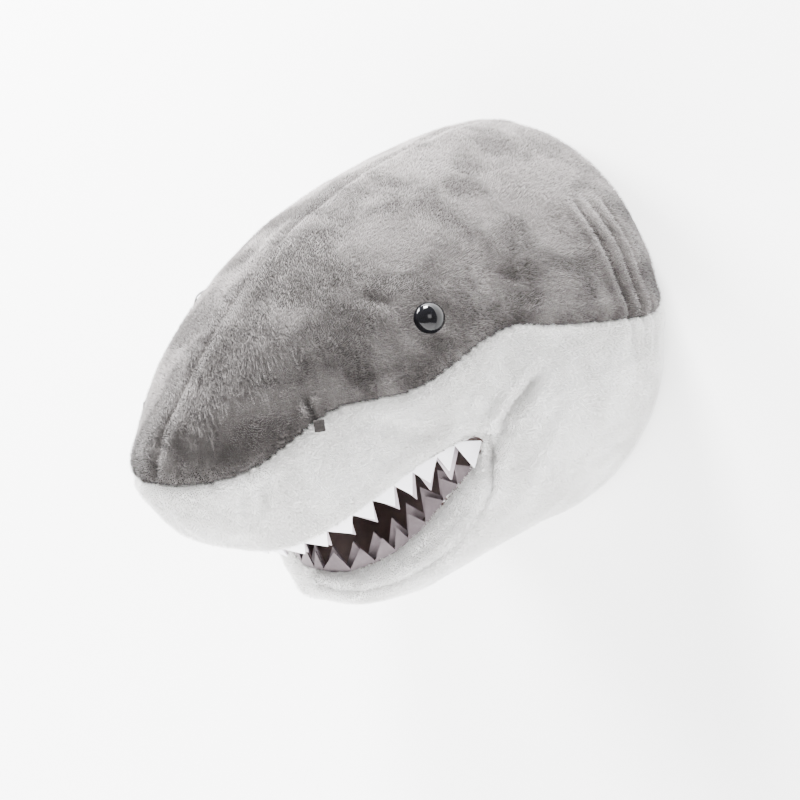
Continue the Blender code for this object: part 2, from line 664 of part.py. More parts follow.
def tooth_frame(upper, v):
    """At v on a lip: its point, the way into the mouth, the lining's normal, the tooth's direction."""
    lip = upper_lip if upper else jaw_lip
    point = lip(v)
    back = point - lip(v - 0.06)
    tangent = (lip(min(v + 0.02, 1)) - lip(v - 0.02)).normalized() if v < 0.98 else Vector((-1, 0, 0))
    open_side = Vector((0, -back.z, back.y)).normalized() * (1 if upper else -1)
    inward = tangent.cross(open_side) * (-1 if upper else 1)
    if upper:
        t = CORNER_AT + v * (LIP_FRONT_AT - CORNER_AT)
        out, lean = head_normal(t, lip_angle(t)), straight([0, 0.5, 1], [0.05, 0.1, 0.2], v)
    else:
        s = JAW_CORNER_AT + v * (1 - JAW_CORNER_AT)
        out, lean = jaw_normal(s, 0.0), straight([0, 1], [-0.1, -0.3], v)
    way = out.cross(tangent) * (1 if upper else -1)
    way = (way + out * lean).normalized()
    if not upper:
        way = way.lerp(CHIN_TOOTH, straight([0, 0.5, 0.8, 1], [0.1, 0.3, 1, 1], v)).normalized()
    return point, inward, open_side, way


def make_teeth(name, upper, first, count, inset, height):
    """A strip of felt teeth along a lip, sewn just inside it."""
    lip = upper_lip if upper else jaw_lip
    roof = sheet_tree(mouth_sheet(upper_lip, palate_rows(), PALATE_RISE, GAP))
    floor = sheet_tree(mouth_sheet(jaw_lip, spread(0, 1, JAW_STEPS), -FLOOR_DIP, -GAP))
    near, far = (roof, floor) if upper else (floor, roof)
    roots, ways, room = [], [], []
    for v, side in lip_places(lip, first, count):
        point, inward, open_side, way = tooth_frame(upper, v)
        root = point + inward * inset
        hit = near.ray_cast(root + open_side * RAY_START, -open_side)[0]
        if hit is not None and (hit - root).dot(open_side) > 0:
            root = hit
        root = root + open_side * (FELT / 2 + TOOTH_CLEAR)
        opposite = far.ray_cast(root + way * TAPE, way)[3]
        room.append(height if opposite is None else min(height, opposite * TOOTH_SHARE))
        roots.append(root if side > 0 else mirror_vector(root))
        ways.append(way if side > 0 else mirror_vector(way))
    bm = bmesh.new()
    tops = [bm.verts.new(p) for p in roots]
    lows = [bm.verts.new(p + w * TAPE) for p, w in zip(roots, ways)]
    for k in range(count):
        way = (ways[k] + ways[k + 1]).normalized()
        reach = TAPE + (room[k] + room[k + 1]) / 2
        tip = bm.verts.new((roots[k] + roots[k + 1]) / 2 + way * reach)
        bm.faces.new([tops[k], tops[k + 1], lows[k + 1], lows[k]])
        bm.faces.new([lows[k], lows[k + 1], tip])
    mesh = bpy.data.meshes.new(name)
    bm.to_mesh(mesh)
    bm.free()
    strip = new_object(name, mesh, (0.9, 0.89, 0.9), 0.85)
    felt = strip.modifiers.new("felt", "SOLIDIFY")
    felt.thickness = FELT
    felt.offset = 0


def make_nostrils():
    """The turned-down end of the grey cloth's dart, a small tab over the white cloth on each side."""
    point, out = head(*NOSTRIL_AT), head_normal(*NOSTRIL_AT)
    along = (head(NOSTRIL_AT[0], NOSTRIL_AT[1] + 0.05) - point).normalized()
    across = along.cross(out).normalized()
    for side, sign in (("left", 1), ("right", -1)):
        name = "nostril_tab_" + side
        bm = bmesh.new()
        bmesh.ops.create_cube(bm, size=1)
        bmesh.ops.scale(bm, verts=bm.verts, vec=TAB_SIZE)
        bmesh.ops.bevel(bm, geom=bm.edges, offset=0.5 * MM, segments=1, profile=0.5, affect="EDGES",
                        material=-1)
        frame = Matrix((across, along, -out)).transposed().to_4x4()
        frame.translation = point + out * 2.2 * MM + along * 6 * MM
        bmesh.ops.transform(bm, matrix=frame, verts=bm.verts)
        if sign < 0:
            bmesh.ops.scale(bm, verts=bm.verts, vec=(-1, 1, 1))
        new_object(name, finish_mesh(bm, name), (0.12, 0.11, 0.1), 0.95)


def main():
    clear_scene()
    for name in ("plush_shark_head", "cutters"):
        old = bpy.data.collections.get(name)
        if old:
            bpy.data.collections.remove(old)
        bpy.context.scene.collection.children.link(bpy.data.collections.new(name))
    make_head_panels()
    make_jaw_panels()
    make_linings()
    make_filling()
    make_eyes()
    make_hanger(make_back())
    make_teeth("upper_teeth_outer", True, 0.06, 21, 4.5 * MM, TOOTH_HEIGHT)
    make_teeth("upper_teeth_inner", True, 0.14, 18, 13 * MM, TOOTH_HEIGHT * 0.9)
    make_teeth("lower_teeth_outer", False, 0.16, 17, 4.5 * MM, TOOTH_HEIGHT * 0.9)
    make_teeth("lower_teeth_inner", False, 0.26, 14, 13 * MM, TOOTH_HEIGHT * 0.9)
    make_nostrils()


main()
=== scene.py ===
# %% [markdown]
# # A plush shark head for the wall
#
# This lesson finishes a stuffed toy head whose plain solids already exist. The solids give us every place
# and size. We make what they lack: cloth that swells between its seams, short pile, felt teeth, glossy
# eyes and a neat back. Lengths are in metres, the wall is the plane Y = 0, and the nose points along -Y.

# %% Load the plain model
import json
import math

import bmesh
import bpy
import numpy as np
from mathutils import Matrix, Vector, noise
from mathutils.bvhtree import BVHTree
from mathutils.kdtree import KDTree

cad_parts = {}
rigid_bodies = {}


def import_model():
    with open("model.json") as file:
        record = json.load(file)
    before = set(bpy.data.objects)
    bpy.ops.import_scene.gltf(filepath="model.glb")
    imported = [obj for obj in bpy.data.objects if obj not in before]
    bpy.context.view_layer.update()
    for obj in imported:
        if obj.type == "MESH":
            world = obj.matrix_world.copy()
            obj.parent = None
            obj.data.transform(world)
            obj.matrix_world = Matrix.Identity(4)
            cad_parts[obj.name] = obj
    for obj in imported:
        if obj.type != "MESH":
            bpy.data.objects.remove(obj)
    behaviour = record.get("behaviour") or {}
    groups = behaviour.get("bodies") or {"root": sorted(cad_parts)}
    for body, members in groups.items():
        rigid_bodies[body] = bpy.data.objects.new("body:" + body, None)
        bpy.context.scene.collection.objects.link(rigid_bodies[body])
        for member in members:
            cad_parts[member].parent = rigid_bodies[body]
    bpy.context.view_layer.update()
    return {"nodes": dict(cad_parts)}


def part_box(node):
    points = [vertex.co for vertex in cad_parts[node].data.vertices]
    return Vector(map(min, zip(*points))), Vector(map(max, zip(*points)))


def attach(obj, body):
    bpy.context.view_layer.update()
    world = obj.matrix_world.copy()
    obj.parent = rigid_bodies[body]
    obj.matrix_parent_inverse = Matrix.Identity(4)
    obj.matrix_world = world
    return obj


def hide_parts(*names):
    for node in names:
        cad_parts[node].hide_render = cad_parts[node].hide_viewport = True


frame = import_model()
NODES = frame["nodes"]
SIDES = ("left", "right")
MM = 0.001

# %% [markdown]
# ## Camera, light and room
#
# The head hangs on a wall, so the room is a wall that curves into a floor far below. The wall must not
# hide the head's back from someone who looks from behind, so its material lets light through wherever we
# see its back face. One large soft lamp from the upper left makes the form readable, a second from above
# lights the top, and a weak one fills the shadows. The pale world and a faint glow of the wall do the rest.

# %% Camera
VIEW_TURN = math.radians(43)  # how far the camera stands round to the head's left side
VIEW_RISE = math.radians(6)
VIEW_DISTANCE = 2.0
LOOK_AT = Vector((0, -0.1408, -0.048))
toward_camera = Vector((
    math.sin(VIEW_TURN) * math.cos(VIEW_RISE),
    -math.cos(VIEW_TURN) * math.cos(VIEW_RISE),
    math.sin(VIEW_RISE),
))
camera = bpy.data.objects.new("camera", bpy.data.cameras.new("camera"))
camera.data.lens = 112.5
camera.data.sensor_width = 36
camera.location = LOOK_AT + toward_camera * VIEW_DISTANCE
camera.rotation_euler = (-toward_camera).to_track_quat("-Z", "Y").to_euler()
bpy.context.scene.collection.objects.link(camera)
bpy.context.scene.camera = camera


# %% Lights and the pale world
def soft_lamp(name, place, size, power):
    """A square lamp that faces the head."""
    lamp = bpy.data.lights.new(name, "AREA")
    lamp.size = size
    lamp.energy = power
    made = bpy.data.objects.new(name, lamp)
    made.location = place
    made.rotation_euler = (LOOK_AT - Vector(place)).to_track_quat("-Z", "Y").to_euler()
    bpy.context.scene.collection.objects.link(made)


soft_lamp("key_lamp", (-2.0, -0.9, 1.3), 1.0, 300)
soft_lamp("top_lamp", (-0.4, -0.45, 1.9), 0.6, 330)
soft_lamp("fill_lamp", (1.8, -1.7, 0.9), 0.9, 16)
world = bpy.data.worlds.new("pale_room")
world.use_nodes = True
world.node_tree.nodes["Background"].inputs["Color"].default_value = (1, 1, 1, 1)
world.node_tree.nodes["Background"].inputs["Strength"].default_value = 0.62
bpy.context.scene.world = world

# %% [markdown]
# ## Small tools for materials
#
# A material is a network of nodes. Writing each node and link in full makes long code, so short helpers do
# it: they add a node with its values, begin or use a group of nodes, and begin a material with its
# Principled BSDF, the shader that stands for most real surfaces.


# %% Node helpers
def add_node(tree, kind, values=None, **settings):
    """Adds a node, sets its properties and its input values, and links inputs given as sockets."""
    node = tree.nodes.new(kind)
    for name, value in settings.items():
        setattr(node, name, value)
    for name, value in (values or {}).items():
        socket = node.inputs[name]
        if isinstance(value, bpy.types.NodeSocket):
            tree.links.new(value, socket)
        else:
            socket.default_value = value
    return node


def start_material(name, roughness=0.5, metallic=0.0, colour=(0.8, 0.8, 0.8), sheen=0.0):
    """A material with its shader ready: (material, tree, shader)."""
    material = bpy.data.materials.new(name)
    material.use_nodes = True
    tree = material.node_tree
    shader = tree.nodes["Principled BSDF"]
    shader.inputs["Roughness"].default_value = roughness
    shader.inputs["Metallic"].default_value = metallic
    shader.inputs["Base Color"].default_value = (*colour, 1)
    shader.inputs["Sheen Weight"].default_value = sheen
    shader.inputs["Sheen Roughness"].default_value = 0.5
    material.diffuse_color = (*colour, 1)
    return material, tree, shader


def start_group(name, inputs, outputs):
    """A shader node group with named inputs {name: value} and outputs.

    Gives back the group, its tree inputs and its tree outputs.
    """
    group = bpy.data.node_groups.new(name, "ShaderNodeTree")
    for label, value in inputs.items():
        socket = group.interface.new_socket(name=label, in_out="INPUT", socket_type="NodeSocketFloat")
        socket.default_value = value
    for label, kind in outputs.items():
        group.interface.new_socket(name=label, in_out="OUTPUT", socket_type=kind)
    return group, group.nodes.new("NodeGroupInput").outputs, group.nodes.new("NodeGroupOutput").inputs


def use_group(tree, group, values):
    node = tree.nodes.new("ShaderNodeGroup")
    node.node_tree = group
    for name, value in values.items():
        node.inputs[name].default_value = value
    return node


# %% Wall and floor
def make_room():
    """A wall behind the head that curves into a floor, seen from its front only."""
    floor_level, sweep, reach = -0.95, 0.35, 2.6
    bm = bmesh.new()
    ends = [(reach, 0.0008, 1.6), (reach, 0.0008, floor_level + sweep)]
    ends += [(reach, 0.0008 - sweep * (1 - math.cos(a)), floor_level + sweep * (1 - math.sin(a)))
             for a in np.linspace(0, math.pi / 2, 9)[1:]]
    ends.append((reach, -2.4, floor_level))
    line = [bm.verts.new(p) for p in ends]
    edges = [bm.edges.new(pair) for pair in zip(line, line[1:])]
    swept = bmesh.ops.extrude_edge_only(bm, edges=edges)["geom"]
    moved = [v for v in swept if isinstance(v, bmesh.types.BMVert)]
    bmesh.ops.translate(bm, verts=moved, vec=(-2 * reach, 0, 0))
    bm.normal_update()
    if sum(f.normal.y for f in bm.faces) > 0:
        bmesh.ops.reverse_faces(bm, faces=bm.faces)
    mesh = bpy.data.meshes.new("room")
    bm.to_mesh(mesh)
    bm.free()
    mesh.shade_smooth()
    room = bpy.data.objects.new("room", mesh)
    bpy.context.scene.collection.objects.link(room)
    material, tree, shader = start_material("pale_paint", 0.9, colour=(0.95, 0.95, 0.95))
    shader.inputs["Emission Color"].default_value = (1, 1, 1, 1)
    shader.inputs["Emission Strength"].default_value = 1.4
    see_through = add_node(tree, "ShaderNodeBsdfTransparent")
    side = add_node(tree, "ShaderNodeNewGeometry").outputs["Backfacing"]
    mixed = add_node(tree, "ShaderNodeMixShader", {0: side, 1: shader.outputs[0], 2: see_through.outputs[0]})
    tree.links.new(mixed.outputs[0], tree.nodes["Material Output"].inputs["Surface"])
    mesh.materials.append(material)


make_room()

# %% [markdown]
# ## The stuffed form
#
# A plush head is one bag of cloth panels, blown tight by its filling and held in along every seam. We copy
# the plain panels, linings and filling into one mesh and voxel remesh it, which fuses them into a single
# even skin. Each face then learns which panel it belongs to: the nearest one of the plain model. The cloth
# simulation can only work on such an even mesh, and the panels are cut apart again afterwards.

# %% Fuse the plain solids into one even skin
PANELS = ["upper_panel_left", "upper_panel_right", "cheek_panel_left", "cheek_panel_right", "lip_band",
          "throat_panel", "upper_mouth_lining", "lower_mouth_lining"]
INNER = ["head_stuffing", "jaw_stuffing", "back_board"]
VOXEL = 4.6 * MM
EVENLY = {"factor": 0.5, "use_axis_x": True, "use_axis_y": True, "use_axis_z": True}


def new_piece(name, bm):
    """A mesh object from a bmesh, which is freed."""
    mesh = bpy.data.meshes.new(name)
    bm.to_mesh(mesh)
    bm.free()
    mesh.shade_smooth()
    made = bpy.data.objects.new(name, mesh)
    bpy.context.scene.collection.objects.link(made)
    return made


def baked(made):
    """Replaces an object's mesh by what its modifiers make of it."""
    bpy.context.view_layer.update()
    graph = bpy.context.evaluated_depsgraph_get()
    mesh = bpy.data.meshes.new_from_object(made.evaluated_get(graph))
    mesh.name = made.name
    made.modifiers.clear()
    made.data = mesh
    return made


def read_points(mesh):
    flat = np.empty(len(mesh.vertices) * 3)
    mesh.vertices.foreach_get("co", flat)
    return flat.reshape(-1, 3)


def read_normals(mesh):
    flat = np.empty(len(mesh.vertices) * 3, np.float32)
    mesh.vertex_normals.foreach_get("vector", flat)
    return flat.reshape(-1, 3).astype(float)


def write_points(mesh, points):
    mesh.vertices.foreach_set("co", points.astype(np.float32).ravel())
    mesh.update()


def keep_largest(bm):
    """Deletes every loose part but the widest, so closed bubbles inside go."""
    left = set(bm.verts)
    parts = []
    while left:
        stack = [left.pop()]
        part = set(stack)
        while stack:
            for edge in stack.pop().link_edges:
                for v in edge.verts:
                    if v in left:
                        left.remove(v)
                        part.add(v)
                        stack.append(v)
        parts.append(part)
    parts.sort(key=len)
    for part in parts[:-1]:
        bmesh.ops.delete(bm, geom=list(part), context="VERTS")


def fused_form():
    bm = bmesh.new()
    for name in PANELS + INNER:
        bm.from_mesh(NODES[name].data)
    form = new_piece("form", bm)
    remesh = form.modifiers.new("even_skin", "REMESH")
    remesh.mode = "VOXEL"
    remesh.voxel_size = VOXEL
    baked(form)
    bm = bmesh.new()
    bm.from_mesh(form.data)
    keep_largest(bm)
    for _ in range(5):
        bmesh.ops.smooth_vert(bm, verts=bm.verts, **EVENLY)
    bmesh.ops.recalc_face_normals(bm, faces=bm.faces)
    bm.to_mesh(form.data)
    bm.free()
    return form


form = fused_form()
print("form:", len(form.data.vertices), "vertices")

# %% Give each face its panel
LABELS = PANELS + ["back_board"]


def label_faces(mesh):
    """Sets each face's material index to the number of the nearest panel."""
    corners, faces, owners = [], [], []
    for number, name in enumerate(LABELS):
        source = NODES[name].data
        first = len(corners)
        corners += [v.co for v in source.vertices]
        faces += [[first + i for i in p.vertices] for p in source.polygons]
        owners += [number] * len(source.polygons)
    tree = BVHTree.FromPolygons(corners, faces)
    found = [owners[tree.find_nearest(p.center)[2]] for p in mesh.polygons]
    mesh.polygons.foreach_set("material_index", found)


for _ in LABELS:
    form.data.materials.append(None)
label_faces(form.data)
print("faces a panel:", {LABELS[i]: n for i, n in enumerate(np.bincount(
    [p.material_index for p in form.data.polygons], minlength=len(LABELS)))})

# %% [markdown]
# ## Seams
#
# Where two labels meet there is a seam, but it runs along the little squares of the remesh. We slide each
# seam point sideways onto the plain model's seam and even out the line, so the stitching runs smoothly.

# %% Find the seam points and slide them into line
PANEL_TREES = []
for name in LABELS:
    bm = bmesh.new()
    bm.from_mesh(NODES[name].data)
    PANEL_TREES.append(BVHTree.FromBMesh(bm))
    bm.free()
LINING_LABELS = {LABELS.index("upper_mouth_lining"), LABELS.index("lower_mouth_lining")}
BOARD_LABEL = LABELS.index("back_board")
CHEEK_LABELS = {2, 3}
LIP_LABEL = LABELS.index("lip_band")
THROAT_LABEL = LABELS.index("throat_panel")


def seam_points(mesh):
    """Vertex number to the set of labels round it, for the points that lie on a seam."""
    touching = {}
    for p in mesh.polygons:
        for i in p.vertices:
            touching.setdefault(i, set()).add(p.material_index)
    return {i: labels for i, labels in touching.items() if len(labels) > 1}


def seam_neighbours(mesh, seams):
    """Each seam point's neighbours along its seam."""
    sides = {}
    for p in mesh.polygons:
        for key in p.edge_keys:
            sides.setdefault(key, set()).add(p.material_index)
    found = {i: [] for i in seams}
    for (a, b), labels in sides.items():
        if len(labels) > 1:
            found[a].append(b)
            found[b].append(a)
    return found


def straighten_seams(mesh):
    seams = seam_points(mesh)
    near = seam_neighbours(mesh, seams)
    points = [v.co.copy() for v in mesh.vertices]
    normals = [v.normal.copy() for v in mesh.vertices]
    for i, labels in seams.items():
        if len(labels) != 2:
            continue
        ends = [PANEL_TREES[label].find_nearest(points[i])[0] for label in labels]
        ends.sort(key=lambda end: (end - points[i]).length)
        move = ends[1] - points[i]
        move -= normals[i] * move.dot(normals[i])
        if move.length < 1.2 * VOXEL:
            points[i] += move
    for _ in range(6):
        old = [p.copy() for p in points]
        for i, friends in near.items():
            if len(friends) == 2:
                move = (old[friends[0]] + old[friends[1]]) / 2 - old[i]
                points[i] += (move - normals[i] * move.dot(normals[i])) * 0.5
    for v, p in zip(mesh.vertices, points):
        v.co = p
    bm = bmesh.new()
    bm.from_mesh(mesh)
    bm.verts.ensure_lookup_table()
    loose = [v for v in bm.verts if v.index not in seams]
    for _ in range(3):
        bmesh.ops.smooth_vert(bm, verts=loose, **EVENLY)
    bm.to_mesh(mesh)
    bm.free()
    return seams


seams = straighten_seams(form.data)
print("seam points:", len(seams))


# %% [markdown]
# ## Where the eyes sit
#
# Each eye is a dome on a stem, so the two points of its solid that are furthest apart give its axis.

# %% Eye places from the plain model
def eye_axis(side):
    """(top of the dome, direction out of the head) of an eye."""
    points = read_points(NODES["eye_" + side].data)
    middle = points.mean(axis=0)
    one = points[np.argmax(np.linalg.norm(points - middle, axis=1))]
    other = points[np.argmax(np.linalg.norm(points - one, axis=1))]
    top, end = (one, other) if abs(one[0]) > abs(other[0]) else (other, one)
    return Vector(top), (Vector(top) - Vector(end)).normalized()


EYE_RADIUS = 11.8 * MM
EYE_RISE = 9.4 * MM  # from the cloth to the top of the dome
EYES = {side: eye_axis(side) for side in SIDES}
EYE_SEATS = [np.array(top - way * EYE_RISE) for top, way in EYES.values()]
print("eyes at", [[round(c, 3) for c in seat] for seat in EYE_SEATS])

# %% [markdown]
# ## Blow up the cloth
#
# Every seam, the mouth and the places under the eyes are pinned, and the rest swells under a little
# pressure. The skin starts a few millimetres inside the plain model, because it swells and then carries its
# pile, and no point may end up more than a set distance from where it began.

# %% Pinned points, a smaller start, and the simulation
PILE_DEPTH = 2.2 * MM
SWELL_ROOM = 3.0 * MM
SWELL_CAP = 6.5 * MM


def tree_of(points):
    """A tree that finds the nearest of some points."""
    tree = KDTree(len(points))
    for n, p in enumerate(points):
        tree.insert(p, n)
    tree.balance()
    return tree


def seam_distance(points, chosen):
    """How far each point is from the nearest of the chosen ones."""
    tree = tree_of(chosen)
    return np.array([tree.find(p)[2] for p in points])


def quiet_seam(labels):
    """The seam between cheek and throat is flat, and hidden in the pile."""
    return THROAT_LABEL in labels and bool(labels & CHEEK_LABELS) and len(labels) == 2


def strong_seam_points(mesh, seams):
    return [mesh.vertices[i].co.copy() for i, labels in seams.items() if not quiet_seam(labels)]


def swell(form, seams):
    mesh = form.data
    points = read_points(mesh)
    normals = read_normals(mesh)
    away = seam_distance(points, strong_seam_points(mesh, seams))
    seat = np.min([np.linalg.norm(points - s, axis=1) for s in EYE_SEATS], axis=0)
    inside = np.zeros(len(points), bool)
    for p in mesh.polygons:
        if p.material_index in LINING_LABELS or p.material_index == BOARD_LABEL:
            inside[list(p.vertices)] = True
    free = 1 - np.exp(-((away / (18 * MM)) ** 2))
    free *= 1 - np.exp(-((seat / (17 * MM)) ** 2))
    free[inside] = 0
    outer = np.where(inside, 0, 1.0)
    points = points - normals * (PILE_DEPTH * outer + SWELL_ROOM * free)[:, None]
    write_points(mesh, points)
    pins = form.vertex_groups.new(name="pins")
    for i in np.nonzero(free < 0.03)[0]:
        pins.add([int(i)], 1.0, "REPLACE")
    cloth = form.modifiers.new("cloth", "CLOTH")
    cloth.settings.quality = 5
    cloth.settings.mass = 0.3
    cloth.settings.tension_stiffness = 10
    cloth.settings.compression_stiffness = 10
    cloth.settings.shear_stiffness = 6
    cloth.settings.bending_stiffness = 2
    cloth.settings.use_pressure = True
    cloth.settings.uniform_pressure_force = 12
    cloth.settings.effector_weights.gravity = 0
    cloth.settings.vertex_group_mass = "pins"
    cloth.collision_settings.use_collision = False
    cloth.point_cache.frame_end = 20
    scene = bpy.context.scene
    for n in range(1, 21):
        scene.frame_set(n)
    graph = bpy.context.evaluated_depsgraph_get()
    blown = read_points(form.evaluated_get(graph).data)
    form.modifiers.clear()
    form.vertex_groups.clear()
    scene.frame_set(1)
    move = blown - points
    length = np.linalg.norm(move, axis=1)
    print("swelled by up to %.1f mm, %.1f mm on average" % (length.max() / MM, length.mean() / MM))
    held = np.minimum(1, SWELL_CAP / np.maximum(length, 1e-9))
    return points + move * held[:, None]


write_points(form.data, swell(form, seams))
fine = form.modifiers.new("fine_skin", "SUBSURF")
fine.levels = fine.render_levels = 1
baked(form)
print("fine skin:", len(form.data.vertices), "vertices")

# %% [markdown]
# ## Shape the cloth
#
# The fine skin now takes the marks that a simulation of plain cloth doesn't give: valleys along the seams,
# the tucks of the gills, the folds behind the mouth, soft wrinkles on the snout and the pull of each eye.
# All of them are moves of the points along their normals, so one function serves them: it presses a valley
# along a line, and may raise the cloth beside it.


# %% Valleys along lines
def on_skin(tree, line, steps=8):
    """A finer line through the given points, laid on the skin."""
    found = []
    for a, b in zip(line, line[1:]):
        for n in range(steps):
            found.append(tree.find_nearest(Vector(a).lerp(Vector(b), n / steps))[0])
    found.append(tree.find_nearest(Vector(line[-1]))[0])
    return np.array(found)


def line_distance(points, line):
    """Distance of each point to a line of short straight pieces, and how far along it, from 0 to 1."""
    best = np.full(len(points), 1.0)
    along = np.zeros(len(points))
    for n, (a, b) in enumerate(zip(line, line[1:])):
        way = b - a
        t = np.clip(((points - a) @ way) / max(way @ way, 1e-12), 0, 1)
        d = np.linalg.norm(points - (a + t[:, None] * way), axis=1)
        nearer = d < best
        best[nearer] = d[nearer]
        along[nearer] = (n + t[nearer]) / (len(line) - 1)
    return best, along


def valley(points, line, depth, width, banks=0.4):
    """How far each point moves out for a valley along the line, fading at its ends, with raised banks."""
    d, along = line_distance(points, line)
    fade = np.clip(np.sin(np.clip(along, 0.02, 0.98) * math.pi) * 2.2, 0, 1)
    low = np.exp(-((d / width) ** 2))
    bank = np.exp(-(((d - 2.1 * width) / (1.2 * width)) ** 2))
    return (banks * bank - low) * depth * fade


# Lines on the left side of the head, each with its depth and width in millimetres. The right side mirrors
# them.
FOLDS = [
    ([(0.166, -0.160, -0.012), (0.158, -0.176, -0.040), (0.146, -0.184, -0.068), (0.134, -0.183, -0.092)],
     6.0, 4.6),
    ([(0.172, -0.140, -0.030), (0.164, -0.150, -0.062), (0.150, -0.158, -0.098)], 2.0, 6.0),
    ([(0.154, -0.214, -0.030), (0.150, -0.210, -0.052)], 1.6, 4.5),
    ([(0.118, -0.290, -0.048), (0.122, -0.262, -0.056), (0.132, -0.236, -0.058)], 1.5, 6.0),
    ([(0.060, -0.350, -0.082), (0.056, -0.344, -0.112)], 1.8, 3.5),
    ([(0.050, -0.360, -0.086), (0.043, -0.350, -0.120)], 1.5, 3.5),
    ([(0.020, -0.398, -0.076), (0.030, -0.390, -0.094), (0.034, -0.376, -0.112)], 1.6, 4.0),
    ([(0.094, -0.286, 0.062), (0.112, -0.262, 0.046)], 1.5, 5.0),
    ([(0.100, -0.316, -0.020), (0.112, -0.292, -0.012), (0.118, -0.270, -0.004)], 1.2, 6.0),
]
DART = [(0.083, -0.331, -0.026), (0.088, -0.329, -0.036), (0.092, -0.326, -0.047)]
GILLS = [-0.043, -0.059, -0.075]
GILL_TOP, GILL_LOW = 0.118, -0.012


def gills(points):
    """Three tucks at each side of the neck: a sharp groove, and a puffed ridge in front of it."""
    move = np.zeros(len(points))
    drift = np.array([noise.noise(Vector(p) * 22) for p in points]) * 1.6 * MM
    rise = np.clip((GILL_TOP - points[:, 2]) / 0.022, 0, 1) * np.clip((points[:, 2] - GILL_LOW) / 0.05, 0, 1)
    side = np.clip((np.abs(points[:, 0]) - 0.095) / 0.03, 0, 1)
    for place in GILLS:
        y = points[:, 1] - place - drift
        groove = np.exp(-((y / (2.6 * MM)) ** 2))
        ridge = np.exp(-(((y + 7.5 * MM) / (4.5 * MM)) ** 2))
        move += (0.6 * ridge - groove) * 5.4 * MM * rise * side
    return move


def bump_at(distance, middle, width, height):
    """A rise, or a dip if height is below 0, round a distance. The last three are in millimetres."""
    return height * MM * np.exp(-(((distance - middle * MM) / (width * MM)) ** 2))


def shape_cloth(form):
    mesh = form.data
    points = read_points(mesh)
    normals = read_normals(mesh)
    bm = bmesh.new()
    bm.from_mesh(mesh)
    tree = BVHTree.FromBMesh(bm)
    bm.free()
    seams = seam_points(mesh)
    ridge_or_edge = [mesh.vertices[i].co for i, labels in seams.items() if not quiet_seam(labels)]
    soft = np.ones(len(points))
    for p in mesh.polygons:
        if p.material_index in LINING_LABELS or p.material_index == BOARD_LABEL:
            soft[list(p.vertices)] = 0
    away = seam_distance(points, ridge_or_edge)
    band = [mesh.vertices[i].co for i, labels in seams.items()
            if LIP_LABEL in labels and not labels & LINING_LABELS]
    move = bump_at(away, 0, 3.6, -2.2) + bump_at(away, 10, 6, 0.9)
    move += bump_at(seam_distance(points, band), 0, 3, -2.0)
    for line, depth, width in FOLDS:
        for sign in (1, -1):
            laid = on_skin(tree, [(sign * x, y, z) for x, y, z in line])
            move += valley(points, laid, depth * MM, width * MM)
    for sign in (1, -1):
        laid = on_skin(tree, [(sign * x, y, z) for x, y, z in DART], 4)
        move += valley(points, laid, 3.2 * MM, 2.6 * MM, 0.5)
    move += gills(points)
    for seat in EYE_SEATS:
        r = np.linalg.norm(points - seat, axis=1)
        move += bump_at(r, 0, 15, -2.4) + bump_at(r, 27, 9, 1.4)
    lumps = np.array([noise.noise(Vector(p) * 16) + 0.6 * noise.noise(Vector(p) * 38) for p in points])
    move += lumps * 1.5 * MM
    points = points + normals * (move * soft)[:, None]
    write_points(mesh, points)
    print("moved the cloth by up to %.1f mm" % (np.abs(move * soft).max() / MM))


shape_cloth(form)

# %% [markdown]
# ## Materials of the cloth
#
# Plush looks cloudy, because its pile lies this way here and that way there. One node group makes that
# cloudiness, and both plush cloths use it with their own colours. A second group makes the fine grain that
# a pile, a felt or a weave has, as a height for a Bump node.


# %% Shared effects: cloudy nap and fine fibre
def make_nap_group():
    """Soft clouds from 0 to 1, broken by a finer mottle."""
    group, given, made = start_group(
        "cloudy_nap", {"Scale": 22.0, "Mottle": 0.4}, {"Cloud": "NodeSocketFloat"})
    place = add_node(group, "ShaderNodeTexCoord").outputs["Object"]
    broad = add_node(group, "ShaderNodeTexNoise", {
        "Vector": place, "Scale": given["Scale"], "Detail": 4.0, "Roughness": 0.55, "Distortion": 0.6})
    finer = add_node(group, "ShaderNodeMath", {0: given["Scale"], 1: 6.0}, operation="MULTIPLY")
    small = add_node(group, "ShaderNodeTexNoise", {"Vector": place, "Scale": finer.outputs[0], "Detail": 3.0})
    spread = add_node(group, "ShaderNodeMapRange", {
        "Value": broad.outputs["Fac"], "From Min": 0.34, "From Max": 0.66}, interpolation_type="SMOOTHSTEP")
    mixed = add_node(group, "ShaderNodeMix", {
        0: given["Mottle"], 2: spread.outputs[0], 3: small.outputs["Fac"]})
    group.links.new(mixed.outputs[0], made["Cloud"])
    return group


def make_fibre_group():
    """Fine tangled fibres as a height."""
    group, given, made = start_group(
        "fine_fibre", {"Scale": 900.0, "Stretch": 0.35}, {"Height": "NodeSocketFloat"})
    place = add_node(group, "ShaderNodeTexCoord").outputs["Object"]
    hair = add_node(group, "ShaderNodeTexNoise", {
        "Vector": place, "Scale": given["Scale"], "Detail": 2.0, "Distortion": 1.5})
    tuft = add_node(group, "ShaderNodeTexVoronoi", {"Vector": place, "Scale": given["Scale"]})
    mixed = add_node(group, "ShaderNodeMix", {
        0: given["Stretch"], 2: hair.outputs["Fac"], 3: tuft.outputs["Distance"]})
    group.links.new(mixed.outputs[0], made["Height"])
    return group


NAP = make_nap_group()
FIBRE = make_fibre_group()


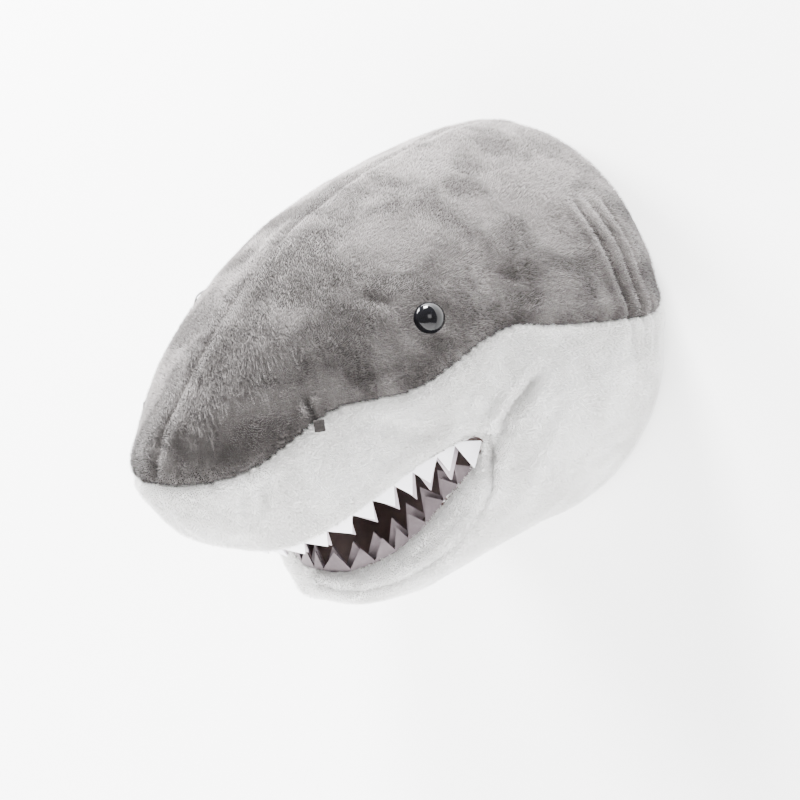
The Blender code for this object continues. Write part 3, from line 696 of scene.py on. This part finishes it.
# %% Plush, lining and felt
def two_tones(name, dark, light, roughness, sheen, cloud, fibre, bump):
    """A cloth of two tones mixed by the cloudy nap, with a fine height on it."""
    material, tree, shader = start_material(name, roughness, colour=light, sheen=sheen)
    nap = use_group(tree, NAP, cloud)
    ramp = add_node(tree, "ShaderNodeMix", {
        0: nap.outputs["Cloud"], 6: (*dark, 1), 7: (*light, 1)}, data_type="RGBA")
    tree.links.new(ramp.outputs[2], shader.inputs["Base Color"])
    height = use_group(tree, FIBRE, fibre).outputs["Height"]
    relief = add_node(tree, "ShaderNodeBump", {**bump, "Height": height})
    tree.links.new(relief.outputs["Normal"], shader.inputs["Normal"])
    return material


def plush_material(name, dark, light, sheen):
    """The ground of the plush, seen between the tufts of its pile."""
    return two_tones(name, dark, light, 0.95, sheen, {"Scale": 22.0, "Mottle": 0.35},
                     {"Scale": 700.0, "Stretch": 0.5}, {"Strength": 0.6, "Distance": 0.0012})


def cloth_material(name, dark, light, fineness, depth, sheen=0.1):
    """Felt, lining or any flat cloth."""
    return two_tones(name, dark, light, 0.9, sheen, {"Scale": 60.0, "Mottle": 0.6},
                     {"Scale": fineness, "Stretch": 0.3}, {"Strength": 0.7, "Distance": depth})


GREY_DARK, GREY_LIGHT = (0.030, 0.0245, 0.023), (0.16, 0.147, 0.142)
WHITE_DARK, WHITE_LIGHT = (0.68, 0.67, 0.655), (0.86, 0.855, 0.845)
grey_plush = plush_material("grey_plush_cloth", GREY_DARK, GREY_LIGHT, 0.25)
white_plush = plush_material("white_plush_cloth", WHITE_DARK, WHITE_LIGHT, 0.15)
lining_cloth = cloth_material("brown_lining", (0.035, 0.017, 0.014), (0.065, 0.034, 0.028), 1500.0, 0.0004)
tooth_felt = cloth_material("tooth_felt", (0.86, 0.85, 0.90), (0.95, 0.94, 0.97), 1300.0, 0.0005)
# The inner rows and the lower rows are the same white felt as the upper outer row, painted darker and greyer
# as painted shade: half shade for the upper inner row, deep shade for both lower rows inside the mouth.
painted_shade_inner_felt = cloth_material("inner_tooth_felt", (0.30, 0.255, 0.28), (0.44, 0.385, 0.42), 1300.0, 0.0005)
shaded_felt = cloth_material("lower_tooth_felt", (0.12, 0.098, 0.106), (0.19, 0.158, 0.17), 1300.0, 0.0005)

# %% [markdown]
# ## Cut the skin into its panels
#
# The skin is one mesh so far. Each panel becomes its own piece of cloth: a copy that keeps its own faces,
# with its edge rolled in along the seams and a real thickness. Plush panels also keep an open copy for
# the pile to grow on.

# %% One piece of cloth for each label
CLOTH_THICK = 2.0 * MM
CLOTH_OF = {"upper_panel_left": grey_plush, "upper_panel_right": grey_plush}


ALL_SEAMS = seam_points(form.data)


def seam_tree(wanted):
    """A tree of the seam points whose labels satisfy a test."""
    return tree_of([form.data.vertices[i].co for i, labels in ALL_SEAMS.items() if wanted(labels)])


QUIET_TREE = seam_tree(quiet_seam)
LIP_TREE = seam_tree(lambda labels: bool(labels & LINING_LABELS))


def on_quiet_seam(place):
    return QUIET_TREE.find(place)[2] < 0.1 * MM


def on_lip(place):
    return LIP_TREE.find(place)[2] < 0.1 * MM


def panel_surface(name):
    """The open surface of one panel, cut out of the form."""
    label = LABELS.index(name)
    bm = bmesh.new()
    bm.from_mesh(form.data)
    others = [f for f in bm.faces if f.material_index != label]
    bmesh.ops.delete(bm, geom=others, context="FACES")
    keep_largest(bm)
    for f in bm.faces:
        f.material_index = 0
    return bm


def roll_edges(bm, depth):
    """Tucks the open edge of a panel under, along its seams."""
    rim = [v for v in bm.verts if v.is_boundary and not on_quiet_seam(v.co)]
    old = {v: (v.co.copy(), v.normal.copy()) for v in rim}
    for v, (place, out) in old.items():
        v.co = place - out * depth


def make_panel(name):
    """A closed piece of cloth with the panel's shape and its own thickness."""
    bm = panel_surface(name)
    roll_edges(bm, 0.9 * MM)
    made = new_piece(name.replace("panel", "plush") if "panel" in name else name + "_cloth", bm)
    made.data.materials.clear()
    lining = "lining" in name
    made.data.materials.append(lining_cloth if lining else CLOTH_OF.get(name, white_plush))
    thick = made.modifiers.new("thickness", "SOLIDIFY")
    thick.thickness = (1.2 * MM) if lining else CLOTH_THICK
    thick.offset = -1
    baked(made)
    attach(made, "head")
    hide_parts(name)
    return made


cloth_pieces = {name: make_panel(name) for name in PANELS}
print("cloth pieces:", {name: len(o.data.polygons) for name, o in cloth_pieces.items()})

# %% [markdown]
# ## The pile
#
# Real pile stands on the cloth, and that is what softens a plush toy's outline and seams. A Geometry Nodes
# tree plants it: points spread evenly on the cloth, a thin pointed tuft on each, leaning back along the
# head with some disorder. Tufts come in a few shades. A broad noise picks the shade, so the cloudy patches
# of the nap come from the pile itself. Painted light and shade shift the shade too: paler on top and toward
# the back, darker at the nose.

# %% Tufts, and the tree that plants them
TUFT_LONG = 3.9 * MM
TUFT_WIDE = 0.50 * MM


def make_tufts(name, shades, sheen):
    """A collection of tufts, one for each shade, as three-sided cones that stand on the origin."""
    group = bpy.data.collections.new(name)
    for n, shade in enumerate(shades):
        bm = bmesh.new()
        bmesh.ops.create_cone(bm, cap_ends=True, segments=3, radius1=TUFT_WIDE, radius2=0,
                              depth=TUFT_LONG)
        bmesh.ops.translate(bm, verts=bm.verts, vec=(0, 0, TUFT_LONG * 0.4))
        mesh = bpy.data.meshes.new("%s_%d" % (name, n))
        bm.to_mesh(mesh)
        bm.free()
        mesh.shade_smooth()
        mesh.materials.append(start_material("%s_%d" % (name, n), 0.9, colour=shade, sheen=sheen)[0])
        group.objects.link(bpy.data.objects.new("%s_%d" % (name, n), mesh))
    return group


def shades_between(dark, light, count):
    return [tuple(a + (b - a) * n / (count - 1) for a, b in zip(dark, light)) for n in range(count)]


def pile_tree(tufts, spacing, cloud_size, seed):
    """A Geometry Nodes tree that replaces a surface by its pile."""
    tree = bpy.data.node_groups.new("pile", "GeometryNodeTree")
    tree.interface.new_socket(name="Surface", in_out="INPUT", socket_type="NodeSocketGeometry")
    tree.interface.new_socket(name="Pile", in_out="OUTPUT", socket_type="NodeSocketGeometry")
    surface = tree.nodes.new("NodeGroupInput").outputs["Surface"]
    made = tree.nodes.new("NodeGroupOutput").inputs["Pile"]
    fullness = add_node(tree, "GeometryNodeInputNamedAttribute", {"Name": "fullness"}, data_type="FLOAT")
    planted_share = add_node(tree, "ShaderNodeMath", {
        0: fullness.outputs[0], 1: 3.0}, operation="MULTIPLY", use_clamp=True)
    points = add_node(tree, "GeometryNodeDistributePointsOnFaces", {
        "Mesh": surface, "Distance Min": spacing, "Density Max": 0.75 / spacing ** 2,
        "Density Factor": planted_share.outputs[0], "Seed": seed}, distribute_method="POISSON")
    out = points.outputs["Normal"]
    place = add_node(tree, "GeometryNodeInputPosition").outputs[0]

    def vector(operation, values):
        return add_node(tree, "ShaderNodeVectorMath", values, operation=operation)

    # The pile is brushed back and down, along the skin.
    brushed = (0.0, 1.0, -0.35)
    onto = vector("DOT_PRODUCT", {0: out, 1: brushed}).outputs["Value"]
    off_skin = vector("SCALE", {0: out, "Scale": onto}).outputs[0]
    along = vector("SUBTRACT", {0: brushed, 1: off_skin}).outputs[0]
    swirl = add_node(tree, "ShaderNodeTexNoise", {"Vector": place, "Scale": 26.0, "Detail": 3.0})
    swirl_way = vector("SUBTRACT", {0: swirl.outputs["Color"], 1: (0.5, 0.5, 0.5)}).outputs[0]
    ruffle = add_node(tree, "ShaderNodeTexNoise", {"Vector": place, "Scale": 420.0, "Detail": 1.0})
    ruffle_way = vector("SUBTRACT", {0: ruffle.outputs["Color"], 1: (0.5, 0.5, 0.5)}).outputs[0]
    way = vector("MULTIPLY_ADD", {0: along, 1: (0.75, 0.75, 0.75), 2: out}).outputs[0]
    way = vector("MULTIPLY_ADD", {0: swirl_way, 1: (1.5, 1.5, 1.5), 2: way}).outputs[0]
    way = vector("MULTIPLY_ADD", {0: ruffle_way, 1: (1.3, 1.3, 1.3), 2: way}).outputs[0]
    turn = add_node(tree, "FunctionNodeAlignRotationToVector", {"Vector": way}, axis="Z")

    # The shade: broad clouds, a little mottle, a little chance, and a painted light and shade term stored on
    # the panel (paler on top and toward the back, darker at the nose, with pressed nap behind the eyes).
    cloud = add_node(tree, "ShaderNodeTexNoise", {
        "Vector": place, "Scale": cloud_size, "Detail": 4.0, "Roughness": 0.55, "Distortion": 0.6})
    chance = add_node(tree, "FunctionNodeRandomValue", {"Seed": seed + 1}, data_type="FLOAT").outputs[1]
    wide = add_node(tree, "ShaderNodeMapRange", {
        "Value": cloud.outputs["Fac"], "From Min": 0.40, "From Max": 0.60})
    pale = add_node(tree, "GeometryNodeInputNamedAttribute", {"Name": "pale"}, data_type="FLOAT")
    tinted = add_node(tree, "ShaderNodeMath", {
        0: wide.outputs[0], 1: pale.outputs[0]}, operation="ADD", use_clamp=True)
    mixed = add_node(tree, "ShaderNodeMix", {0: 0.2, 2: tinted.outputs[0], 3: chance})
    last = len(tufts.objects) - 0.01
    number = add_node(tree, "ShaderNodeMath", {0: mixed.outputs[0], 1: last}, operation="MULTIPLY")
    whole = add_node(tree, "ShaderNodeMath", {0: number.outputs[0]}, operation="FLOOR")

    height = add_node(tree, "FunctionNodeRandomValue", {"Seed": seed + 2}, data_type="FLOAT")
    height.inputs[2].default_value = 0.75
    height.inputs[3].default_value = 1.2
    full_height = add_node(tree, "ShaderNodeMath", {
        0: height.outputs[1], 1: fullness.outputs[0]}, operation="MULTIPLY")
    size = add_node(tree, "ShaderNodeCombineXYZ", {"X": 1.0, "Y": 1.0, "Z": full_height.outputs[0]})
    kinds = add_node(tree, "GeometryNodeCollectionInfo", {
        "Collection": tufts, "Separate Children": True, "Reset Children": True})
    planted = add_node(tree, "GeometryNodeInstanceOnPoints", {
        "Points": points.outputs["Points"], "Instance": kinds.outputs[0], "Pick Instance": True,
        "Instance Index": whole.outputs[0], "Rotation": turn.outputs[0], "Scale": size.outputs[0]})
    real = add_node(tree, "GeometryNodeRealizeInstances", {0: planted.outputs[0]})
    tree.links.new(real.outputs[0], made)
    return tree


# %% Plant the pile on each plush panel
GREY_TUFTS = make_tufts("grey_tuft", shades_between((0.027, 0.0218, 0.0204), (0.215, 0.198, 0.192), 7), 0.12)
WHITE_TUFTS = make_tufts("white_tuft", shades_between((0.74, 0.73, 0.715), (0.90, 0.895, 0.885), 3), 0.1)
PLUSH = {  # panel: (tufts, spacing, size of the clouds)
    "upper_panel_left": (GREY_TUFTS, 0.92 * MM, 24.0),
    "upper_panel_right": (GREY_TUFTS, 0.92 * MM, 24.0),
    "cheek_panel_left": (WHITE_TUFTS, 0.85 * MM, 20.0),
    "cheek_panel_right": (WHITE_TUFTS, 0.85 * MM, 20.0),
    "lip_band": (WHITE_TUFTS, 0.75 * MM, 20.0),
    "throat_panel": (WHITE_TUFTS, 1.0 * MM, 20.0),
}


def fullness_at(points, edges):
    """How full the pile is: thin under the eyes, shorter along the seams."""
    near_seam = seam_distance(points, edges)
    full = 0.45 + 0.55 * np.clip(near_seam / (4 * MM), 0, 1)
    for seat in EYE_SEATS:
        r = np.linalg.norm(points - seat, axis=1)
        full *= np.clip((r - EYE_RADIUS * 0.97) / (2.5 * MM), 0, 1)
    return full


def painted_light_and_nap_at(points):
    """Painted light and nap: painted shade at the nose, painted light on top and by the gills, pressed nap
    behind the eyes.
    """
    back = np.clip((points[:, 1] + 0.31) / 0.24, 0, 1)
    high = np.clip(points[:, 2] / 0.13, 0, 1)
    pale = 0.36 * back + 0.26 * high - 0.30
    for seat in EYE_SEATS:
        r = np.linalg.norm(points - seat - np.array([0, 26 * MM, -8 * MM]), axis=1)
        pale += 0.3 * np.exp(-((r / (15 * MM)) ** 2))
    return pale


def make_pile(name):
    tufts, spacing, cloud_size = PLUSH[name]
    bm = panel_surface(name)
    edges = [v.co.copy() for v in bm.verts
             if v.is_boundary and not on_quiet_seam(v.co) and not on_lip(v.co)]
    made = new_piece(name.replace("panel", "pile") if "panel" in name else name + "_pile", bm)
    full = fullness_at(read_points(made.data), edges)
    layer = made.data.attributes.new("fullness", "FLOAT", "POINT")
    layer.data.foreach_set("value", full.astype(np.float32))
    # Painted light and shade: the tufts are painted paler on top and toward the back and darker at the nose;
    # the paler patch behind each eye is pressed nap.
    layer = made.data.attributes.new("pale", "FLOAT", "POINT")
    layer.data.foreach_set("value", painted_light_and_nap_at(read_points(made.data)).astype(np.float32))
    planter = made.modifiers.new("pile", "NODES")
    planter.node_group = pile_tree(tufts, spacing, cloud_size, len(name))
    baked(made)
    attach(made, "head")
    print(made.name, len(made.data.polygons), "faces,", len(made.data.materials), "shades")


for name in PLUSH:
    make_pile(name)
for node_group in [g for g in bpy.data.node_groups if g.bl_idname == "GeometryNodeTree"]:
    bpy.data.node_groups.remove(node_group)

# %% [markdown]
# ## The filling
#
# Under the cloth is the fibre filling. It is the same skin, shrunk so that it stays inside the cloth and in
# front of the board. A coarse remesh joins its crumpled places.

# %% A shrunk copy of the skin
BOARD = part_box("back_board")
FILL_SHRINK = 5.5 * MM


def make_filling():
    filling = bpy.data.objects.new("filling", form.data.copy())
    bpy.context.scene.collection.objects.link(filling)
    points = read_points(filling.data) - read_normals(filling.data) * FILL_SHRINK
    points[:, 1] = np.minimum(points[:, 1], BOARD[0][1] - 0.5 * MM)
    write_points(filling.data, points)
    remesh = filling.modifiers.new("fibre_mass", "REMESH")
    remesh.mode = "VOXEL"
    remesh.voxel_size = 5 * MM
    baked(filling)
    bm = bmesh.new()
    bm.from_mesh(filling.data)
    keep_largest(bm)
    for v in bm.verts:
        v.co.y = min(v.co.y, BOARD[0][1] - 0.5 * MM)
    bmesh.ops.recalc_face_normals(bm, faces=bm.faces)
    bm.to_mesh(filling.data)
    bm.free()
    filling.data.materials.clear()
    filling.data.materials.append(stuffing_fibre)
    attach(filling, "head")
    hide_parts("head_stuffing", "jaw_stuffing")
    return filling


stuffing_fibre = cloth_material("stuffing_fibre", (0.70, 0.70, 0.69), (0.86, 0.86, 0.85), 500.0, 0.0015)
filling = make_filling()
print("filling:", len(filling.data.polygons), "faces")

# %% [markdown]
# ## Felt teeth
#
# Each row of teeth is one strip of stiff felt. The plain strips stand a little clear of the cloth, so every
# strip is brought down: we find its roots, which are the points nearest to their target, work out how far
# each root must go, and let every other point follow the roots next to it. The outer rows go to the edge of
# the lip and the inner rows to the lining.

# %% Where the strips are sewn
ROWS = {  # strip: (sewn at the lip's edge, share of its height that stays, felt)
    "upper_teeth_outer": (True, 1.0, tooth_felt),
    "upper_teeth_inner": (False, 1.55, painted_shade_inner_felt),
    "lower_teeth_outer": (True, 0.9, shaded_felt),
    "lower_teeth_inner": (False, 1.1, shaded_felt),
}
ROOT_SINK = 0.7 * MM
LIP_LAP = 2.2 * MM  # how far the outer rows' roots go past the lining's edge, under the plush
INNER_ROW = (5 * MM, 8 * MM)  # how far from the lip the inner rows are sewn


def lip_edge(lining):
    """Points of a lining's edge, moved a little under the plush."""
    label = LABELS.index(lining)
    mesh = form.data
    inside, outside = {}, {}
    for p in mesh.polygons:
        for i in p.vertices:
            (inside if p.material_index == label else outside).setdefault(i, []).append(p.center)
    found = []
    for i in inside.keys() & outside.keys():
        way = sum(outside[i], Vector()) / len(outside[i]) - sum(inside[i], Vector()) / len(inside[i])
        v = mesh.vertices[i]
        found.append(v.co + way.normalized() * LIP_LAP - v.normal * ROOT_SINK)
    return found


def lining_strip(lining):
    """Points of a lining that lie in a strip along its lip, a little below its surface."""
    label = LABELS.index(lining)
    mesh = form.data
    lip = tree_of(lip_edge(lining))
    chosen = {i for p in mesh.polygons if p.material_index == label for i in p.vertices}
    return [mesh.vertices[i].co - mesh.vertices[i].normal * ROOT_SINK for i in chosen
            if INNER_ROW[0] < lip.find(mesh.vertices[i].co)[2] < INNER_ROW[1]]


# %% Bring each strip to its seam
def make_tooth_row(name):
    to_lip, height, felt = ROWS[name]
    lining = name.split("_")[0] + "_mouth_lining"
    target = tree_of(lip_edge(lining) if to_lip else lining_strip(lining))
    bm = bmesh.new()
    bm.from_mesh(NODES[name].data)
    bmesh.ops.remove_doubles(bm, verts=bm.verts, dist=0.05 * MM)
    bmesh.ops.dissolve_limit(bm, angle_limit=math.radians(1), verts=bm.verts, edges=bm.edges)
    bmesh.ops.recalc_face_normals(bm, faces=bm.faces)
    places = [v.co.copy() for v in bm.verts]
    ends = [target.find(p) for p in places]
    around = tree_of(places)
    roots = [i for i, p in enumerate(places)
             if all(ends[i][2] - ends[j][2] < 1.7 * MM for _, j, _ in around.find_range(p, 3.6 * MM))]
    roots = [i for i in roots if ends[i][2] < 16 * MM]
    root_tree = tree_of([places[i] for i in roots])
    depth = 0.0
    for v, p in zip(bm.verts, places):
        foot, goal, total = Vector(), Vector(), 0.0
        for at, n, away in root_tree.find_n(p, 4):
            weight = 1 / (away + 0.4 * MM) ** 2
            foot += at * weight
            goal += ends[roots[n]][0] * weight
            total += weight
        v.co = goal / total + (p - foot / total) * height
        depth = max(depth, (p - foot / total).length * height)
    made = new_piece(name.replace("teeth", "tooth_felt"), bm)
    made.data.materials.clear()
    made.data.materials.append(felt)
    edges = made.modifiers.new("soft_edges", "BEVEL")
    edges.width = 0.3 * MM
    edges.segments = 2
    edges.limit_method = "ANGLE"
    edges.angle_limit = math.radians(40)
    baked(made)
    made.data.shade_smooth()
    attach(made, "head")
    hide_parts(name)


for name in ROWS:
    make_tooth_row(name)

# %% [markdown]
# ## Eyes
#
# A safety eye is a polished dome with a short ribbed stem behind it. We draw half of its outline and spin
# it.

# %% Spin each eye
EYE_OUTLINE = [(0, 0), (3.4, -0.35), (6.4, -1.5), (8.9, -3.4), (10.6, -5.6), (11.5, -7.4), (11.8, -8.4),
               (11.5, -8.9), (10.6, -9.2), (6.0, -9.4), (2.7, -9.6), (2.7, -14.6), (2.4, -15.2), (2.7, -15.8),
               (2.7, -17.6), (2.4, -18.2), (2.7, -18.8), (2.7, -20.6), (1.8, -22.6), (0, -23.4)]


def spun(name, outline, place, way, steps=48):
    """A body turned from half an outline of (radius, height) pairs in millimetres, about an axis."""
    bm = bmesh.new()
    line = [bm.verts.new((r * MM, 0, h * MM)) for r, h in outline]
    edges = [bm.edges.new(pair) for pair in zip(line, line[1:])]
    bmesh.ops.spin(bm, geom=line + edges, cent=(0, 0, 0), axis=(0, 0, 1), angle=2 * math.pi, steps=steps,
                   use_merge=True, use_duplicate=False)
    bmesh.ops.remove_doubles(bm, verts=bm.verts, dist=0.01 * MM)
    bmesh.ops.recalc_face_normals(bm, faces=bm.faces)
    turned = way.to_track_quat("Z", "Y").to_matrix().to_4x4()
    turned.translation = place
    bmesh.ops.transform(bm, matrix=turned, verts=bm.verts)
    return new_piece(name, bm)


black_gloss = start_material("black_gloss", 0.1, colour=(0.003, 0.003, 0.004))[0]
black_gloss.node_tree.nodes["Principled BSDF"].inputs["Specular IOR Level"].default_value = 0.3
white_plastic = start_material("white_plastic", 0.45, colour=(0.80, 0.80, 0.78))[0]
for side, (top, way) in EYES.items():
    eye = spun("safety_eye_" + side, EYE_OUTLINE, top, way)
    eye.data.materials.append(black_gloss)
    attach(eye, "head")
    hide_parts("eye_" + side)
    NODES["eye_washer_" + side].data.materials.clear()
    NODES["eye_washer_" + side].data.materials.append(white_plastic)
print("eyes made")

# %% [markdown]
# ## Nostril tabs
#
# The dart of the grey cloth ends in a small tab that hangs over the white cloth. It is a folded scrap of
# the grey plush, so we make it a soft block with a rough skin.

# %% Fold each tab
tab_cloth = plush_material("tab_plush_cloth", (0.012, 0.010, 0.0095), (0.045, 0.039, 0.037), 0.1)


def make_tab(side):
    bm = bmesh.new()
    bm.from_mesh(NODES["nostril_tab_" + side].data)
    bmesh.ops.remove_doubles(bm, verts=bm.verts, dist=0.05 * MM)
    bmesh.ops.recalc_face_normals(bm, faces=bm.faces)
    tab = new_piece("nostril_fold_" + side, bm)
    rounding = tab.modifiers.new("soft", "REMESH")
    rounding.mode = "VOXEL"
    rounding.voxel_size = 0.45 * MM
    baked(tab)
    points = read_points(tab.data)
    normals = read_normals(tab.data)
    rough = np.array([noise.noise(Vector(p) * 700) for p in points])
    write_points(tab.data, points + normals * (rough * 0.45 * MM)[:, None])
    tab.data.shade_smooth()
    tab.data.materials.clear()
    tab.data.materials.append(tab_cloth)
    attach(tab, "head")
    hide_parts("nostril_tab_" + side)
    return tab


tabs = [make_tab(side) for side in SIDES]
print("tabs:", [len(tab.data.polygons) for tab in tabs])

# %% [markdown]
# ## The back
#
# The back is a plywood board under black felt, with a pocket for the hanger. The board keeps its solid. The
# other pieces are cleaned copies of theirs, most with softened edges. Wood and steel get procedural
# materials.

# %% Wood and steel
def wood_material():
    material, tree, shader = start_material("plywood", 0.6, colour=(0.62, 0.45, 0.28))
    place = add_node(tree, "ShaderNodeTexCoord").outputs["Object"]
    long_way = add_node(tree, "ShaderNodeMapping", {"Vector": place, "Scale": (1.0, 1.0, 0.08)})
    grain = add_node(tree, "ShaderNodeTexNoise", {
        "Vector": long_way.outputs[0], "Scale": 140.0, "Detail": 5.0, "Distortion": 0.8})
    tone = add_node(tree, "ShaderNodeMix", {
        0: grain.outputs["Fac"], 6: (0.46, 0.31, 0.17, 1), 7: (0.72, 0.55, 0.36, 1)}, data_type="RGBA")
    tree.links.new(tone.outputs[2], shader.inputs["Base Color"])
    bump = add_node(tree, "ShaderNodeBump", {
        "Strength": 0.3, "Distance": 0.0003, "Height": grain.outputs["Fac"]})
    tree.links.new(bump.outputs["Normal"], shader.inputs["Normal"])
    return material


def steel_material():
    material, tree, shader = start_material("plated_steel", 0.28, metallic=1.0, colour=(0.72, 0.69, 0.58))
    place = add_node(tree, "ShaderNodeTexCoord").outputs["Object"]
    marks = add_node(tree, "ShaderNodeTexNoise", {"Vector": place, "Scale": 260.0, "Detail": 4.0})
    rough = add_node(tree, "ShaderNodeMapRange", {
        "Value": marks.outputs["Fac"], "To Min": 0.2, "To Max": 0.42})
    tree.links.new(rough.outputs[0], shader.inputs["Roughness"])
    return material


plywood = wood_material()
steel = steel_material()
back_felt = cloth_material(
    "black_felt", (0.012, 0.012, 0.014), (0.035, 0.035, 0.04), 1100.0, 0.0006, sheen=0.05)


# %% Felt cover, ring, strap and screws
def repaint(name, material):
    NODES[name].data.materials.clear()
    NODES[name].data.materials.append(material)


def softened(name, made_name, width, segments=2):
    """A copy of a plain node with its sharp edges rounded."""
    bm = bmesh.new()
    bm.from_mesh(NODES[name].data)
    bmesh.ops.remove_doubles(bm, verts=bm.verts, dist=0.02 * MM)
    bmesh.ops.dissolve_limit(bm, angle_limit=math.radians(1), verts=bm.verts, edges=bm.edges)
    bmesh.ops.recalc_face_normals(bm, faces=bm.faces)
    made = new_piece(made_name, bm)
    edges = made.modifiers.new("soft_edges", "BEVEL")
    edges.width = width
    edges.segments = segments
    edges.limit_method = "ANGLE"
    edges.angle_limit = math.radians(40)
    return baked(made)


repaint("back_board", plywood)
cover = softened("back_cover", "felt_cover", 0.4 * MM)
cover.data.materials.clear()
cover.data.materials.append(back_felt)
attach(cover, "head")
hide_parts("back_cover")

for name in ("hanger_strap", "hanger_screw_upper", "hanger_screw_lower"):
    part = softened(name, name.replace("hanger", "steel"), 0.15 * MM)
    part.data.materials.clear()
    part.data.materials.append(steel)
    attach(part, "head")
    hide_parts(name)

bm = bmesh.new()
bm.from_mesh(NODES["hanger_ring"].data)
bmesh.ops.remove_doubles(bm, verts=bm.verts, dist=0.02 * MM)
bmesh.ops.recalc_face_normals(bm, faces=bm.faces)
ring = new_piece("steel_ring", bm)
ring.data.materials.clear()
ring.data.materials.append(steel)
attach(ring, "ring")
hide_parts("hanger_ring")

# %% Clear away what was only needed for the work
bpy.data.objects.remove(form)
